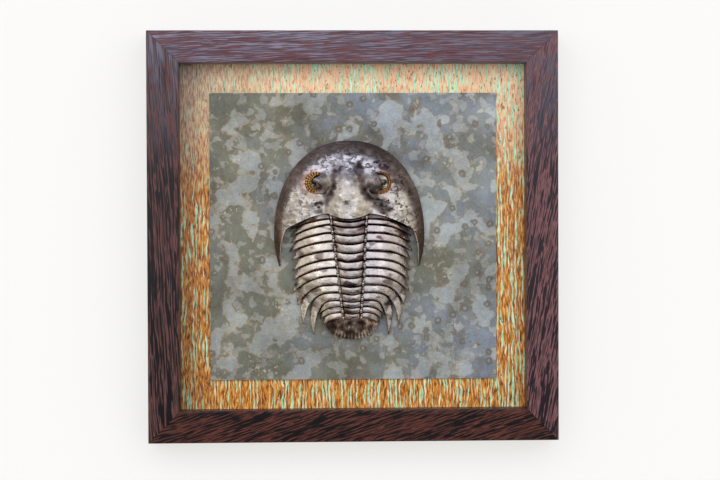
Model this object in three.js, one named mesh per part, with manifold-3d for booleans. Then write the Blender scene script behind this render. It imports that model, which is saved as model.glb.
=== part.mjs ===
// A steel trilobite in relief, raised and riveted from sheet, fixed to a square of galvanised
// steel on a board with streaked open grain, in a mitred wenge frame that hangs on a wall.
// Millimetres, +Z up. The front faces -Y, and the back of the frame lies in the plane y = 0.
// The origin is the middle of the back.
import * as THREE from "three";
import { mergeVertices } from "three/addons/utils/BufferGeometryUtils.js";
import Module from "manifold-3d";

const wasm = await Module();
wasm.setup();

// Frame, board and sheet
const frameSide = 406.4; // 16 inches square
const railFace = 31.75; // width of the wood seen from the front
const railDepth = 31.75;
const arrisRadius = 1.2; // eased edge of the wood
const mitreGap = 0.15; // each end stops this short of the 45 degree line
const rebateWidth = 6.35;
const boardThickness = 12.7;
const boardClearance = 0.5; // between the board's edge and the rebate
const touchGap = 0.3; // between two pieces that meet
const sheetSide = 285;
const sheetThickness = 1.6;
const sheetShiftX = 0.4;

// The animal, measured on the sheet: u runs to its right, v towards its head, h off the sheet
const bodyX = -2.4; // the body stands a little left of the frame's centre line
const plateThickness = 1;
const tipHeight = 4.2; // spine tips above the sheet
const beadRadius = 1.45; // small boss in each axial furrow

// Head shield
const head = {
  centreU: -1.5,
  axisU: -2.8,
  halfWidth: 74.7,
  widestV: 1.2,
  length: 93.8, // widest line to front edge
  squareness: 2.15, // exponent of the outline
  rimHeight: 4.2,
  domeHeight: 17.5,
  domeFlatness: 3.2,
  rearMiddleV: 17.6,
  rearFurrowV: 22.8,
  rearCornerU: 63,
  rearCornerV: 7.4,
  spineTipU: 69.6,
  spineTipV: -29.6,
  spineTipWidth: 1,
};
const glabella = { rise: 7.2, rearHalf: 20.3, frontHalf: 12.5, frontV: 74, fadeLength: 20 };
const eye = {
  outU: 31.5, // from the axis
  v: 53,
  baseRadius: 11,
  topRadius: { left: 5.6, right: 7.6 },
  height: 6.4,
  sink: 2.6, // how far the boss starts below the dome
  lensThickness: 0.9,
  lensHalfAngle: 108, // degrees either side of straight out
};

// Thorax: one row a plate, from the neck ring back. rear is v at the furrow, tipU and tipV the
// spine's end, bend how late the plate turns backwards, on its left and on its right
const plates = [
  { rear: 17.7, tipU: 60.2, tipV: 7.2, bend: [1.8, 2.6] },
  { rear: 12.0, tipU: 60.2, tipV: 0.0, bend: [1.7, 2.9] },
  { rear: 3.9, tipU: 59.8, tipV: -6.4, bend: [1.7, 3.0] },
  { rear: -4.5, tipU: 61.2, tipV: -15.0, bend: [1.8, 3.2] },
  { rear: -13.8, tipU: 59.0, tipV: -23.3, bend: [1.9, 3.5] },
  { rear: -22.4, tipU: 58.3, tipV: -33.9, bend: [2.1, 3.6] },
  { rear: -30.5, tipU: 57.8, tipV: -43.2, bend: [2.3, 3.3] },
  { rear: -38.8, tipU: 57.4, tipV: -54.7, bend: [2.6, 3.1] },
  { rear: -47.6, tipU: 52.7, tipV: -68.0, bend: [3.6, 4.6] },
  { rear: -55.3, tipU: 47.5, tipV: -87.0, bend: [4.6, 5.5] },
  { rear: -62.9, tipU: 37.3, tipV: -97.4, bend: [5.2, 6.2] },
  { rear: -69.0, tipU: 32.8, tipV: -77.3, bend: [2.6, 3.0] },
  { rear: -75.0, tipU: 31.1, tipV: -82.0, bend: [2.6, 3.0] },
  { rear: -81.4, tipU: 28.2, tipV: -87.4, bend: [2.6, 3.0] },
];
const plateOverlap = 2.6; // how far each plate runs under the one before it
const shingle = { front: -1.7, rear: 1.3, camber: 0.7 }; // height across a plate
const neckFront = -3.6; // the neck ring dips under the head
const spineTipWidth = 0.7;
const sideSteps = 9; // divisions of one side of a plate
const ringSteps = 4; // divisions of its axial ring
const acrossSteps = 2;

// Tail shield
const tail = { frontV: -79.6, halfWidth: 24.7, widestV: -87.5, rearV: -101.6, ribs: 15, scallop: 0.9, crown: 6.9 };

// Posts that hold the animal off the sheet, and the hardware on the back
const post = { radius: 5, headV: 40, tailV: -84 };
const hanger = { length: 64, height: 9.5, metal: 0.9, standOff: 1.2, tab: 12, tooth: 3, toothDepth: 1.8 };
const hangerZ = 190;
const nail = { radius: 0.7, headRadius: 2.2, headHeight: 0.8, length: 13 };
const nailHoleClearance = 0.3;
const bumper = { radius: 5, height: 2.5, x: 184, z: -190 };

const sheetFrontY = -(boardThickness + touchGap + sheetThickness);

const wenge = new THREE.MeshStandardMaterial({ color: 0x3a2427, roughness: 0.45, metalness: 0 });
const streakedGrain = new THREE.MeshStandardMaterial({ color: 0xb98a56, roughness: 0.35, metalness: 0 });
const galvanised = new THREE.MeshStandardMaterial({ color: 0x7e857f, roughness: 0.5, metalness: 0.6 });
const polishedSteel = new THREE.MeshStandardMaterial({ color: 0xb9b2a8, roughness: 0.3, metalness: 1 });
const darkSteel = new THREE.MeshStandardMaterial({ color: 0x3c3432, roughness: 0.4, metalness: 1 });
const brass = new THREE.MeshStandardMaterial({ color: 0xa8712c, roughness: 0.4, metalness: 1 });
const zincPlate = new THREE.MeshStandardMaterial({ color: 0xb0b3b5, roughness: 0.4, metalness: 1 });
const blackRubber = new THREE.MeshStandardMaterial({ color: 0x1c1c1c, roughness: 0.9, metalness: 0 });

// A point of the animal in the part's frame
function onSheet(u, v, h) {
  return new THREE.Vector3(bodyX + u, sheetFrontY - h, v);
}

// Value at x on a line through the given [x, value] points, rounded where it passes them
function along(points, x) {
  const last = points.length - 1;
  const rising = points[last][0] > points[0][0];
  const order = rising ? points : [...points].reverse();
  if (x <= order[0][0]) return order[0][1];
  if (x >= order[last][0]) return order[last][1];
  const i = order.findIndex((p) => p[0] > x) - 1;
  const t = (x - order[i][0]) / (order[i + 1][0] - order[i][0]);
  return THREE.MathUtils.lerp(order[i][1], order[i + 1][1], t);
}

// The body's form, which all the plates share: [v, value] from the neck to the tail
const axisCentre = (v) => along([[22, -2.8], [-81, 0.7]], v);
const axisHalf = (v) => along([[22, 17.9], [-81, 8.8], [-102, 6]], v);
const furrowHeight = (v) => along([[22, 21], [-40, 18.5], [-65, 14.5], [-81, 10.5], [-102, 5]], v);
const axisRise = (v) => along([[22, 5.6], [-81, 3.4], [-102, 1]], v);
const sideReach = (v) =>
  along([[-39, 60], [-48, 57.5], [-56, 51.5], [-63, 44], [-69, 37.5], [-75, 34.5], [-81, 32], [-87, 29]], v);
const axisBow = (v) => along([[18, 3.2], [-40, 2.2], [-81, 1.2]], v);

function bodyHeight(u, v) {
  const off = Math.abs(u - axisCentre(v));
  const half = axisHalf(v);
  const furrow = furrowHeight(v);
  if (off < half) {
    const t = off / half;
    return furrow + axisRise(v) * Math.pow(1 - t * t, 0.75);
  }
  const s = Math.min(1, (off - half) / (sideReach(v) - half));
  return tipHeight + (furrow - tipHeight) * (1 - Math.pow(s, 2.1));
}

// Closed geometry from corner points and triangles, turned so that it faces out
function closedGeometry(points, triangles) {
  let sixVolumes = 0;
  for (const [a, b, c] of triangles) {
    sixVolumes += points[a].dot(new THREE.Vector3().crossVectors(points[b], points[c]));
  }
  const facingOut = sixVolumes > 0 ? triangles : triangles.map(([a, b, c]) => [a, c, b]);
  const geometry = new THREE.BufferGeometry().setFromPoints(points);
  geometry.setIndex(facingOut.flat());
  return geometry;
}

// A plate of metal from two grids of points, its outside and its inside
function plateGeometry(outside, inside) {
  const rows = outside.length;
  const columns = outside[0].length;
  const points = [...outside.flat(), ...inside.flat()];
  const at = (side, i, j) => side * rows * columns + i * columns + j;
  const triangles = [];
  const quad = (a, b, c, d) => triangles.push([a, b, c], [a, c, d]);
  for (let i = 0; i < rows - 1; i += 1) {
    for (let j = 0; j < columns - 1; j += 1) {
      quad(at(0, i, j), at(0, i + 1, j), at(0, i + 1, j + 1), at(0, i, j + 1));
      quad(at(1, i, j), at(1, i, j + 1), at(1, i + 1, j + 1), at(1, i + 1, j));
    }
    quad(at(0, i, 0), at(1, i, 0), at(1, i + 1, 0), at(0, i + 1, 0));
    const end = columns - 1;
    quad(at(0, i, end), at(0, i + 1, end), at(1, i + 1, end), at(1, i, end));
  }
  for (let j = 0; j < columns - 1; j += 1) {
    quad(at(0, 0, j), at(0, 0, j + 1), at(1, 0, j + 1), at(1, 0, j));
    const end = rows - 1;
    quad(at(0, end, j), at(1, end, j), at(1, end, j + 1), at(0, end, j + 1));
  }
  return closedGeometry(points, triangles);
}

function toSolid(geometry) {
  const bare = geometry.index ? geometry.toNonIndexed() : geometry.clone();
  bare.deleteAttribute("normal");
  bare.deleteAttribute("uv");
  const merged = mergeVertices(bare, 1e-4);
  return new wasm.Manifold(
    new wasm.Mesh({
      numProp: 3,
      vertProperties: merged.attributes.position.array,
      triVerts: new Uint32Array(merged.index.array),
    }),
  );
}

function toGeometry(solid) {
  const mesh = solid.getMesh();
  const geometry = new THREE.BufferGeometry();
  geometry.setAttribute("position", new THREE.BufferAttribute(mesh.vertProperties, 3));
  geometry.setIndex(new THREE.BufferAttribute(mesh.triVerts, 1));
  return geometry;
}

const part = new THREE.Group();

function addNode(name, geometry, material) {
  const mesh = new THREE.Mesh(geometry, material);
  mesh.name = name;
  part.add(mesh);
  return mesh;
}

// Upright drum between two heights off the sheet
function drumOnSheet(radius, u, v, from, to) {
  const drum = new THREE.CylinderGeometry(radius, radius, to - from, 16);
  const middle = onSheet(u, v, (from + to) / 2);
  drum.translate(middle.x, middle.y, middle.z);
  return drum;
}

// Section of the frame's wood as [distance from the frame's centre, y], with the front arrises
// eased and the rebate at the back
function railSection() {
  const outer = frameSide / 2;
  const inner = outer - railFace;
  const front = -railDepth;
  const points = [];
  const ease = (centreR, centreY, fromDegrees) => {
    for (const step of [0, 1, 2, 3]) {
      const angle = THREE.MathUtils.degToRad(fromDegrees + step * 30);
      points.push([centreR + arrisRadius * Math.cos(angle), centreY + arrisRadius * Math.sin(angle)]);
    }
  };
  points.push([outer, 0]);
  points.push([inner + rebateWidth, 0]);
  points.push([inner + rebateWidth, -(boardThickness + touchGap)]);
  points.push([inner, -(boardThickness + touchGap)]);
  ease(inner + arrisRadius, front + arrisRadius, 180);
  ease(outer - arrisRadius, front + arrisRadius, 270);
  return points;
}

// One side of the frame, mitred at both ends, as the top one; the others are turned from it
function railGeometry() {
  const section = railSection();
  const count = section.length;
  const points = [];
  for (const side of [-1, 1]) {
    for (const [r, y] of section) points.push(new THREE.Vector3(side * (r - mitreGap), y, r));
  }
  const outline = section.map(([r, y]) => new THREE.Vector2(r, y));
  const caps = THREE.ShapeUtils.triangulateShape(outline, []);
  const turned = THREE.ShapeUtils.isClockWise(outline);
  const triangles = [];
  for (const [a, b, c] of caps) {
    const left = turned ? [a, b, c] : [a, c, b];
    triangles.push(left, [left[0] + count, left[2] + count, left[1] + count]);
  }
  for (let i = 0; i < count; i += 1) {
    const next = (i + 1) % count;
    const walls = [
      [i, next, next + count],
      [i, next + count, i + count],
    ];
    for (const [a, b, c] of walls) triangles.push(turned ? [a, c, b] : [a, b, c]);
  }
  return closedGeometry(points, triangles);
}

const nailPlaces = [-1, 1].map((side) => side * (hanger.length / 2 - hanger.tab / 2 + 1));

function nailHole(x) {
  const depth = nail.length;
  const radius = nail.radius + nailHoleClearance;
  const hole = new THREE.CylinderGeometry(radius, radius, depth + 1, 12);
  hole.translate(x, (1 - depth) / 2, hangerZ);
  return toSolid(hole);
}

function addFrame() {
  const sides = [
    ["rail_top", 0],
    ["rail_right", 90],
    ["rail_bottom", 180],
    ["rail_left", 270],
  ];
  for (const [name, degrees] of sides) {
    const wood = railGeometry().rotateY(THREE.MathUtils.degToRad(degrees));
    if (name !== "rail_top") {
      addNode(name, wood, wenge);
      continue;
    }
    const drilled = nailPlaces.reduce((solid, x) => solid.subtract(nailHole(x)), toSolid(wood));
    addNode(name, toGeometry(drilled), wenge);
  }
}

function addBoardAndSheet() {
  const boardSide = frameSide - 2 * (railFace - rebateWidth) - 2 * boardClearance;
  const board = new THREE.BoxGeometry(boardSide, boardThickness, boardSide);
  board.translate(0, -boardThickness / 2, 0);
  addNode("backing_board", board, streakedGrain);
  const sheet = new THREE.BoxGeometry(sheetSide, sheetThickness, sheetSide);
  sheet.translate(sheetShiftX, sheetFrontY + sheetThickness / 2, 0);
  addNode("galvanised_sheet", sheet, galvanised);
}

// Half the head's width at v, behind its widest line as well
function headHalfWidth(v) {
  const back = head.widestV - v;
  if (back >= 0) return head.halfWidth - 0.0054 * back * back;
  const share = Math.min(1, -back / head.length);
  return head.halfWidth * Math.pow(1 - Math.pow(share, head.squareness), 1 / head.squareness);
}

// Height of the head's outside above the sheet, without its eyes
function headHeight(u, v) {
  const across = Math.abs(u - head.centreU);
  let reach = across / headHalfWidth(v);
  if (v > head.widestV) {
    const forward = Math.pow((v - head.widestV) / head.length, head.squareness);
    reach = Math.pow(Math.pow(across / head.halfWidth, head.squareness) + forward, 1 / head.squareness);
  }
  const dome = head.rimHeight + head.domeHeight * (1 - Math.pow(Math.min(1, reach), head.domeFlatness));
  const half = along([[18, glabella.rearHalf], [glabella.frontV, glabella.frontHalf]], v);
  const t = Math.abs(u - head.axisU) / half;
  const fade = THREE.MathUtils.smoothstep(glabella.frontV - v, 0, glabella.fadeLength);
  const lobe = t < 1 ? Math.pow(1 - t * t, 0.8) : 0;
  return dome + glabella.rise * lobe * fade;
}

// The head's edges, from the tip of its right cheek spine (0) to the left one (1): the outer
// rim, and the inner edge, which is the spine's inside and then the edge over the neck
function headOuterEdge(t) {
  const side = t < 0.5 ? 1 : -1;
  const fromTip = 1 - Math.abs(2 * t - 1); // 0 at a tip, 1 at the front
  const spineShare = 0.2;
  const tipHalf = headHalfWidth(head.spineTipV);
  if (fromTip < spineShare) {
    const v = THREE.MathUtils.lerp(head.spineTipV, head.widestV, fromTip / spineShare);
    return [head.centreU + side * headHalfWidth(v), v];
  }
  const angle = ((fromTip - spineShare) / (1 - spineShare)) * (Math.PI / 2);
  const power = 2 / head.squareness;
  const u = head.halfWidth * Math.pow(Math.cos(angle), power);
  const v = head.widestV + head.length * Math.pow(Math.sin(angle), power);
  return [head.centreU + side * Math.max(0, Math.min(u, Math.max(tipHalf, u))), v];
}

function headInnerEdge(t) {
  const side = t < 0.5 ? 1 : -1;
  const fromTip = 1 - Math.abs(2 * t - 1);
  const spineShare = 0.2;
  const tipHalf = headHalfWidth(head.spineTipV) - head.spineTipWidth;
  if (fromTip < spineShare) {
    const s = fromTip / spineShare; // the spine's inside curves out towards its tip
    const u = THREE.MathUtils.lerp(tipHalf, head.rearCornerU, Math.pow(s, 3));
    const v = THREE.MathUtils.lerp(head.spineTipV, head.rearCornerV, s);
    return [head.centreU + side * u, v];
  }
  const s = (fromTip - spineShare) / (1 - spineShare); // 0 at the cheek's corner, 1 on the axis
  const u = THREE.MathUtils.lerp(head.rearCornerU, 0, s);
  if (u < glabella.rearHalf) {
    const dip = head.rearFurrowV - head.rearMiddleV;
    return [head.axisU + side * u, head.rearMiddleV + dip * Math.pow(u / glabella.rearHalf, 2)];
  }
  const out = (u - glabella.rearHalf) / (head.rearCornerU - glabella.rearHalf);
  const v = THREE.MathUtils.lerp(head.rearFurrowV, head.rearCornerV, Math.pow(out, 1.6));
  const centre = THREE.MathUtils.lerp(head.axisU, head.centreU, out);
  return [centre + side * u, v];
}

function eyeFrame(side) {
  const u = head.axisU + side * eye.outU;
  const step = 6;
  const slope = (du, dv) =>
    (headHeight(u + du, eye.v + dv) - headHeight(u - du, eye.v - dv)) / (2 * step);
  const normal = new THREE.Vector3(-slope(step, 0), -1, -slope(0, step)).normalize();
  const seat = onSheet(u, eye.v, headHeight(u, eye.v));
  const outward = new THREE.Vector3(side, 0, 0);
  const upward = new THREE.Vector3().crossVectors(normal, outward).normalize();
  outward.crossVectors(upward, normal);
  return new THREE.Matrix4().makeBasis(outward, normal, upward.negate()).setPosition(seat);
}

function eyeBoss(side) {
  const top = side < 0 ? eye.topRadius.left : eye.topRadius.right;
  const profile = [
    new THREE.Vector2(0, -eye.sink),
    new THREE.Vector2(eye.baseRadius, -eye.sink),
    new THREE.Vector2(eye.baseRadius, -0.4),
    new THREE.Vector2(top, eye.height),
    new THREE.Vector2(top * 0.55, eye.height + 1.3),
    new THREE.Vector2(0, eye.height + 1.8),
  ];
  return new THREE.LatheGeometry(profile, 24).applyMatrix4(eyeFrame(side));
}

// The brass lens: a crescent laid on the outward slope of the boss
function eyeLens(side) {
  const top = side < 0 ? eye.topRadius.left : eye.topRadius.right;
  const rise = eye.height + 0.4;
  const run = eye.baseRadius - top;
  const slant = Math.hypot(rise, run);
  const offSlope = (share, off) => [
    eye.baseRadius - run * share + (off * rise) / slant,
    -0.4 + rise * share + (off * run) / slant,
  ];
  const steps = 18;
  const grids = [touchGap + eye.lensThickness, touchGap].map((off) =>
    Array.from({ length: steps + 1 }, (_, i) => {
      const turn = -1 + (2 * i) / steps;
      const angle = THREE.MathUtils.degToRad(turn * eye.lensHalfAngle);
      const share = 0.2 + 0.68 * (1 - turn * turn); // upper edge: a crescent narrows to its ends
      return [0.24, 0.3 + share].map((level) => {
        const [radius, height] = offSlope(Math.min(level, 0.98), off);
        return new THREE.Vector3(radius * Math.cos(angle), height, radius * Math.sin(angle));
      });
    }),
  );
  return plateGeometry(grids[0], grids[1]).applyMatrix4(eyeFrame(side));
}

function addHead() {
  const aroundSteps = 42;
  const inwardSteps = 8;
  const surface = (drop) =>
    Array.from({ length: aroundSteps + 1 }, (_, i) => {
      const t = i / aroundSteps;
      const [outerU, outerV] = headOuterEdge(t);
      const [innerU, innerV] = headInnerEdge(t);
      return Array.from({ length: inwardSteps + 1 }, (_unused, j) => {
        const s = Math.pow(j / inwardSteps, 1.35); // rows are closer together near the steep rim
        const u = THREE.MathUtils.lerp(outerU, innerU, s);
        const v = THREE.MathUtils.lerp(outerV, innerV, s);
        return onSheet(u, v, headHeight(u, v) - drop);
      });
    });
  const shell = toSolid(plateGeometry(surface(0), surface(plateThickness)));
  const bosses = [-1, 1].map((side) => toSolid(eyeBoss(side)));
  addNode("head_shield", toGeometry(shell.add(bosses[0]).add(bosses[1])), polishedSteel);
  addNode("eye_left", eyeLens(-1), brass);
  addNode("eye_right", eyeLens(1), brass);
}

// Points of a plate's rear edge on one side, from the furrow to the spine's tip, evenly spaced
function rearEdge(plate, side) {
  const startU = axisCentre(plate.rear) + side * axisHalf(plate.rear);
  const endU = side * plate.tipU;
  const bend = plate.bend[side < 0 ? 0 : 1];
  const fine = Array.from({ length: 201 }, (_, i) => {
    const s = i / 200;
    return new THREE.Vector2(
      THREE.MathUtils.lerp(startU, endU, s),
      THREE.MathUtils.lerp(plate.rear, plate.tipV, Math.pow(s, bend)),
    );
  });
  const lengths = [0];
  for (let i = 1; i < fine.length; i += 1) lengths.push(lengths[i - 1] + fine[i].distanceTo(fine[i - 1]));
  const total = lengths[lengths.length - 1];
  return Array.from({ length: sideSteps + 1 }, (_, k) => {
    const share = k / sideSteps;
    const wanted = total * (1 - Math.pow(1 - share, 1.25)); // closer together near the tip
    const i = Math.min(fine.length - 2, Math.max(0, lengths.findIndex((d) => d >= wanted) - 1));
    const t = (wanted - lengths[i]) / (lengths[i + 1] - lengths[i]);
    const point = fine[i].clone().lerp(fine[i + 1], t);
    const forward = fine[i + 1].clone().sub(fine[i]).normalize();
    const normal = new THREE.Vector2(-side * forward.y, side * forward.x);
    return { point, normal, toTip: total - wanted };
  });
}

function plateTaper(index) {
  if (index === 9) return 22;
  if (index === 10) return 25;
  return index > 10 ? 9 : 15;
}

// Rear edge and forward direction of a whole plate, from its left tip to its right tip
function plateStations(index) {
  const plate = plates[index];
  const ahead = index === 0 ? head.rearFurrowV : plates[index - 1].rear;
  const width = ahead - plate.rear + plateOverlap;
  const sides = [-1, 1].map((side) =>
    rearEdge(plate, side).map(({ point, normal, toTip }, k) => {
      const taper = Math.min(1, Math.pow(toTip / plateTaper(index), 0.66));
      const span = Math.max(spineTipWidth, width * taper);
      const front = point.clone().addScaledVector(normal, span);
      const widening = axisHalf(front.y) - axisHalf(plate.rear);
      const lean = axisCentre(front.y) - axisCentre(plate.rear);
      front.x += (side * widening + lean) * Math.pow(1 - k / sideSteps, 3);
      return { point, front, taper };
    }),
  );
  const centre = axisCentre(plate.rear);
  const half = axisHalf(plate.rear);
  const ring = Array.from({ length: ringSteps - 1 }, (_, k) => {
    const t = -1 + (2 * (k + 1)) / ringSteps;
    const bow = axisBow(plate.rear) * (1 - t * t);
    const point = new THREE.Vector2(centre + half * t, plate.rear - bow);
    const aheadV = point.y + width;
    const front = new THREE.Vector2(axisCentre(aheadV) + axisHalf(aheadV) * t, aheadV);
    return { point, front, taper: 1 };
  });
  return [...sides[0].reverse(), ...ring, ...sides[1]];
}

function shingleLift(index, across, taper) {
  const slope = THREE.MathUtils.lerp(index === 0 ? neckFront : shingle.front, shingle.rear, across);
  const camber = shingle.camber * 4 * across * (1 - across);
  return (slope + camber) * (0.35 + 0.65 * taper);
}

function thoraxPlate(index) {
  const surface = (drop) =>
    plateStations(index).map(({ point, front, taper }) =>
      Array.from({ length: acrossSteps + 1 }, (_, j) => {
        const across = j / acrossSteps; // 0 at the front edge, 1 at the rear edge
        const place = front.clone().lerp(point, across);
        const h = bodyHeight(place.x, place.y) + shingleLift(index, across, taper);
        return onSheet(place.x, place.y, h - drop);
      }),
    );
  let solid = toSolid(plateGeometry(surface(0), surface(plateThickness)));
  const plate = plates[index];
  for (const side of [-1, 1]) {
    const u = axisCentre(plate.rear) + side * axisHalf(plate.rear);
    const v = plate.rear + beadRadius * 0.7;
    const bead = new THREE.OctahedronGeometry(beadRadius, 1);
    const middle = onSheet(u, v, bodyHeight(u, v) + shingle.rear + 0.35);
    bead.translate(middle.x, middle.y, middle.z);
    solid = solid.add(toSolid(bead));
  }
  return toGeometry(solid);
}

function addThorax() {
  plates.forEach((_, index) => {
    const name = index === 0 ? "neck_ring" : `thorax_plate_${String(index).padStart(2, "0")}`;
    addNode(name, thoraxPlate(index), index === 0 ? darkSteel : polishedSteel);
  });
}

// Fluted half round of the tail: the outline is half an ellipse with a scalloped rim
function addTail() {
  const aroundSteps = 2 * tail.ribs;
  const inwardSteps = 3;
  const centreU = axisCentre(tail.rearV);
  const frontLine = (t) => {
    const u = THREE.MathUtils.lerp(tail.halfWidth - 1.5, -(tail.halfWidth - 1.5), t);
    return [centreU + u, tail.frontV - 3 * Math.pow(Math.abs(u) / tail.halfWidth, 3)];
  };
  const surface = (drop) =>
    Array.from({ length: aroundSteps + 1 }, (_, i) => {
      const t = i / aroundSteps;
      const angle = Math.PI * t;
      const crest = i % 2 === 1 ? 1 : 0;
      const reach = 1 + (crest * tail.scallop) / tail.halfWidth;
      const rimU = centreU + tail.halfWidth * reach * Math.cos(angle);
      const rimV = tail.widestV - (tail.widestV - tail.rearV) * reach * Math.sin(angle);
      const [startU, startV] = frontLine(t);
      return Array.from({ length: inwardSteps + 1 }, (_unused, j) => {
        const s = j / inwardSteps;
        const u = THREE.MathUtils.lerp(startU, rimU, s);
        const v = THREE.MathUtils.lerp(startV, rimV, s);
        const aside = Math.abs(u - centreU) / tail.halfWidth;
        const crown = tail.crown * (1 - Math.pow(aside, 2.4)) * (1 - Math.pow(s, 2.4) * 0.95);
        const flute = 0.7 * crest * s;
        return onSheet(u, v, tipHeight - 0.6 + Math.max(0, crown) + flute - drop);
      });
    });
  addNode("tail_shield", plateGeometry(surface(0), surface(plateThickness)), darkSteel);
}

function addPosts() {
  const under = (height) => height - plateThickness - 2 * touchGap - 0.3;
  const headTop = under(headHeight(head.axisU, post.headV));
  addNode("post_head", drumOnSheet(post.radius, head.axisU, post.headV, touchGap, headTop), zincPlate);
  const tailU = axisCentre(tail.rearV);
  const tailTop = under(tipHeight - 0.6 + tail.crown * 0.86);
  addNode("post_tail", drumOnSheet(post.radius * 0.7, tailU, post.tailV, touchGap, tailTop), zincPlate);
}

// Pressed steel hanger: its ends lie on the wood and its toothed middle stands off
function hangerGeometry() {
  const end = hanger.length / 2;
  const knee = end - hanger.tab;
  const rise = hanger.standOff;
  const low = touchGap;
  const high = touchGap + hanger.metal;
  const side = new THREE.Shape();
  side.moveTo(-end, low);
  side.lineTo(-knee, low);
  side.lineTo(-knee + rise, low + rise);
  side.lineTo(knee - rise, low + rise);
  side.lineTo(knee, low);
  side.lineTo(end, low);
  side.lineTo(end, high);
  side.lineTo(knee, high);
  side.lineTo(knee - rise, high + rise);
  side.lineTo(-knee + rise, high + rise);
  side.lineTo(-knee, high);
  side.lineTo(-end, high);
  side.closePath();
  const strip = new THREE.ExtrudeGeometry(side, { depth: hanger.height, bevelEnabled: false });
  strip.translate(0, 0, hangerZ - hanger.height / 2);
  let solid = toSolid(strip);
  const toothCount = Math.floor((2 * (knee - rise)) / hanger.tooth);
  const bottom = hangerZ - hanger.height / 2;
  for (let i = 0; i < toothCount; i += 1) {
    const x = (i - (toothCount - 1) / 2) * hanger.tooth;
    const notch = new THREE.Shape();
    notch.moveTo(x - hanger.tooth * 0.42, -1);
    notch.lineTo(x + hanger.tooth * 0.42, -1);
    notch.lineTo(x, hanger.toothDepth);
    notch.closePath();
    const cut = new THREE.ExtrudeGeometry(notch, { depth: 6, bevelEnabled: false });
    cut.rotateX(Math.PI / 2).translate(0, 6, bottom);
    solid = solid.subtract(toSolid(cut));
  }
  for (const x of nailPlaces) {
    const radius = nail.radius + nailHoleClearance;
    const hole = new THREE.CylinderGeometry(radius, radius, 4, 12).translate(x, 1, hangerZ);
    solid = solid.subtract(toSolid(hole));
  }
  return toGeometry(solid);
}

function nailGeometry(x) {
  const seat = touchGap + hanger.metal + touchGap;
  const profile = [
    new THREE.Vector2(0, -nail.length + 1.5),
    new THREE.Vector2(nail.radius, -nail.length + 3),
    new THREE.Vector2(nail.radius, seat),
    new THREE.Vector2(nail.headRadius, seat),
    new THREE.Vector2(nail.headRadius * 0.8, seat + nail.headHeight * 0.7),
    new THREE.Vector2(0, seat + nail.headHeight),
  ];
  return new THREE.LatheGeometry(profile, 12).translate(x, 0, hangerZ);
}

function addBackHardware() {
  addNode("hanger", hangerGeometry(), zincPlate);
  addNode("nail_left", nailGeometry(nailPlaces[0]), zincPlate);
  addNode("nail_right", nailGeometry(nailPlaces[1]), zincPlate);
  for (const [name, side] of [["bumper_left", -1], ["bumper_right", 1]]) {
    const profile = [
      new THREE.Vector2(0, touchGap),
      new THREE.Vector2(bumper.radius, touchGap),
      new THREE.Vector2(bumper.radius, bumper.height * 0.6),
      new THREE.Vector2(bumper.radius * 0.75, bumper.height),
      new THREE.Vector2(0, bumper.height),
    ];
    const pad = new THREE.LatheGeometry(profile, 16).translate(side * bumper.x, 0, bumper.z);
    addNode(name, pad, blackRubber);
  }
}

addFrame();
addBoardAndSheet();
addHead();
addThorax();
addTail();
addPosts();
addBackHardware();

export default part;
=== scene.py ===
import math
from functools import partial

import bpy
from mathutils import Matrix, Vector, kdtree, noise


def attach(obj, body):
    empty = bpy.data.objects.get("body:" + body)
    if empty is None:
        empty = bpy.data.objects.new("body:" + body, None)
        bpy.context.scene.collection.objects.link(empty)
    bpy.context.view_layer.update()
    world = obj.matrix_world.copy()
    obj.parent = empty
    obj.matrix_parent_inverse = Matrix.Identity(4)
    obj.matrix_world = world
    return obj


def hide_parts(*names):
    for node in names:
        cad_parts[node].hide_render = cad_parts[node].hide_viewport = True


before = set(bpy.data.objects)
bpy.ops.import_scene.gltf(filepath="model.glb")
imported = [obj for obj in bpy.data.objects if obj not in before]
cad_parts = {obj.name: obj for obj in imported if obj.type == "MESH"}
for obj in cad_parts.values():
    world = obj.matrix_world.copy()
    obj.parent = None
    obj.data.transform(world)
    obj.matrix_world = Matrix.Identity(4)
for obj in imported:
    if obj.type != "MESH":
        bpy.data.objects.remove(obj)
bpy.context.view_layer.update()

mm = 0.001
scene = bpy.context.scene
# noise_vector is drawn anew at every start unless it is seeded
noise.seed_set(7)


def hexLinear(code):
    channels = [int(code[i:i + 2], 16) / 255 for i in (1, 3, 5)]
    return tuple(c / 12.92 if c <= 0.04045 else ((c + 0.055) / 1.055) ** 2.4 for c in channels) + (1.0,)


def lerp(a, b, t):
    return a + (b - a) * t


def clamp(x, low=0.0, high=1.0):
    return max(low, min(high, x))


def smoothStep(x, low, high):
    t = clamp((x - low) / (high - low))
    return t * t * (3 - 2 * t)


def along(points, x):
    # value at x on the line through the [x, value] points
    order = sorted(points)
    if x <= order[0][0]:
        return order[0][1]
    for (x0, y0), (x1, y1) in zip(order, order[1:]):
        if x <= x1:
            return lerp(y0, y1, (x - x0) / (x1 - x0))
    return order[-1][1]


# materials

def newMaterial(name):
    material = bpy.data.materials.new(name)
    material.use_nodes = True
    return material, partial(addNode, material)


def setInputs(material, node, inputs):
    # an input is a plain value, a colour's hex code or another node's output
    for key, value in inputs.items():
        if isinstance(value, bpy.types.NodeSocket):
            material.node_tree.links.new(value, node.inputs[key])
        else:
            node.inputs[key].default_value = hexLinear(value) if isinstance(value, str) else value


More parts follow.
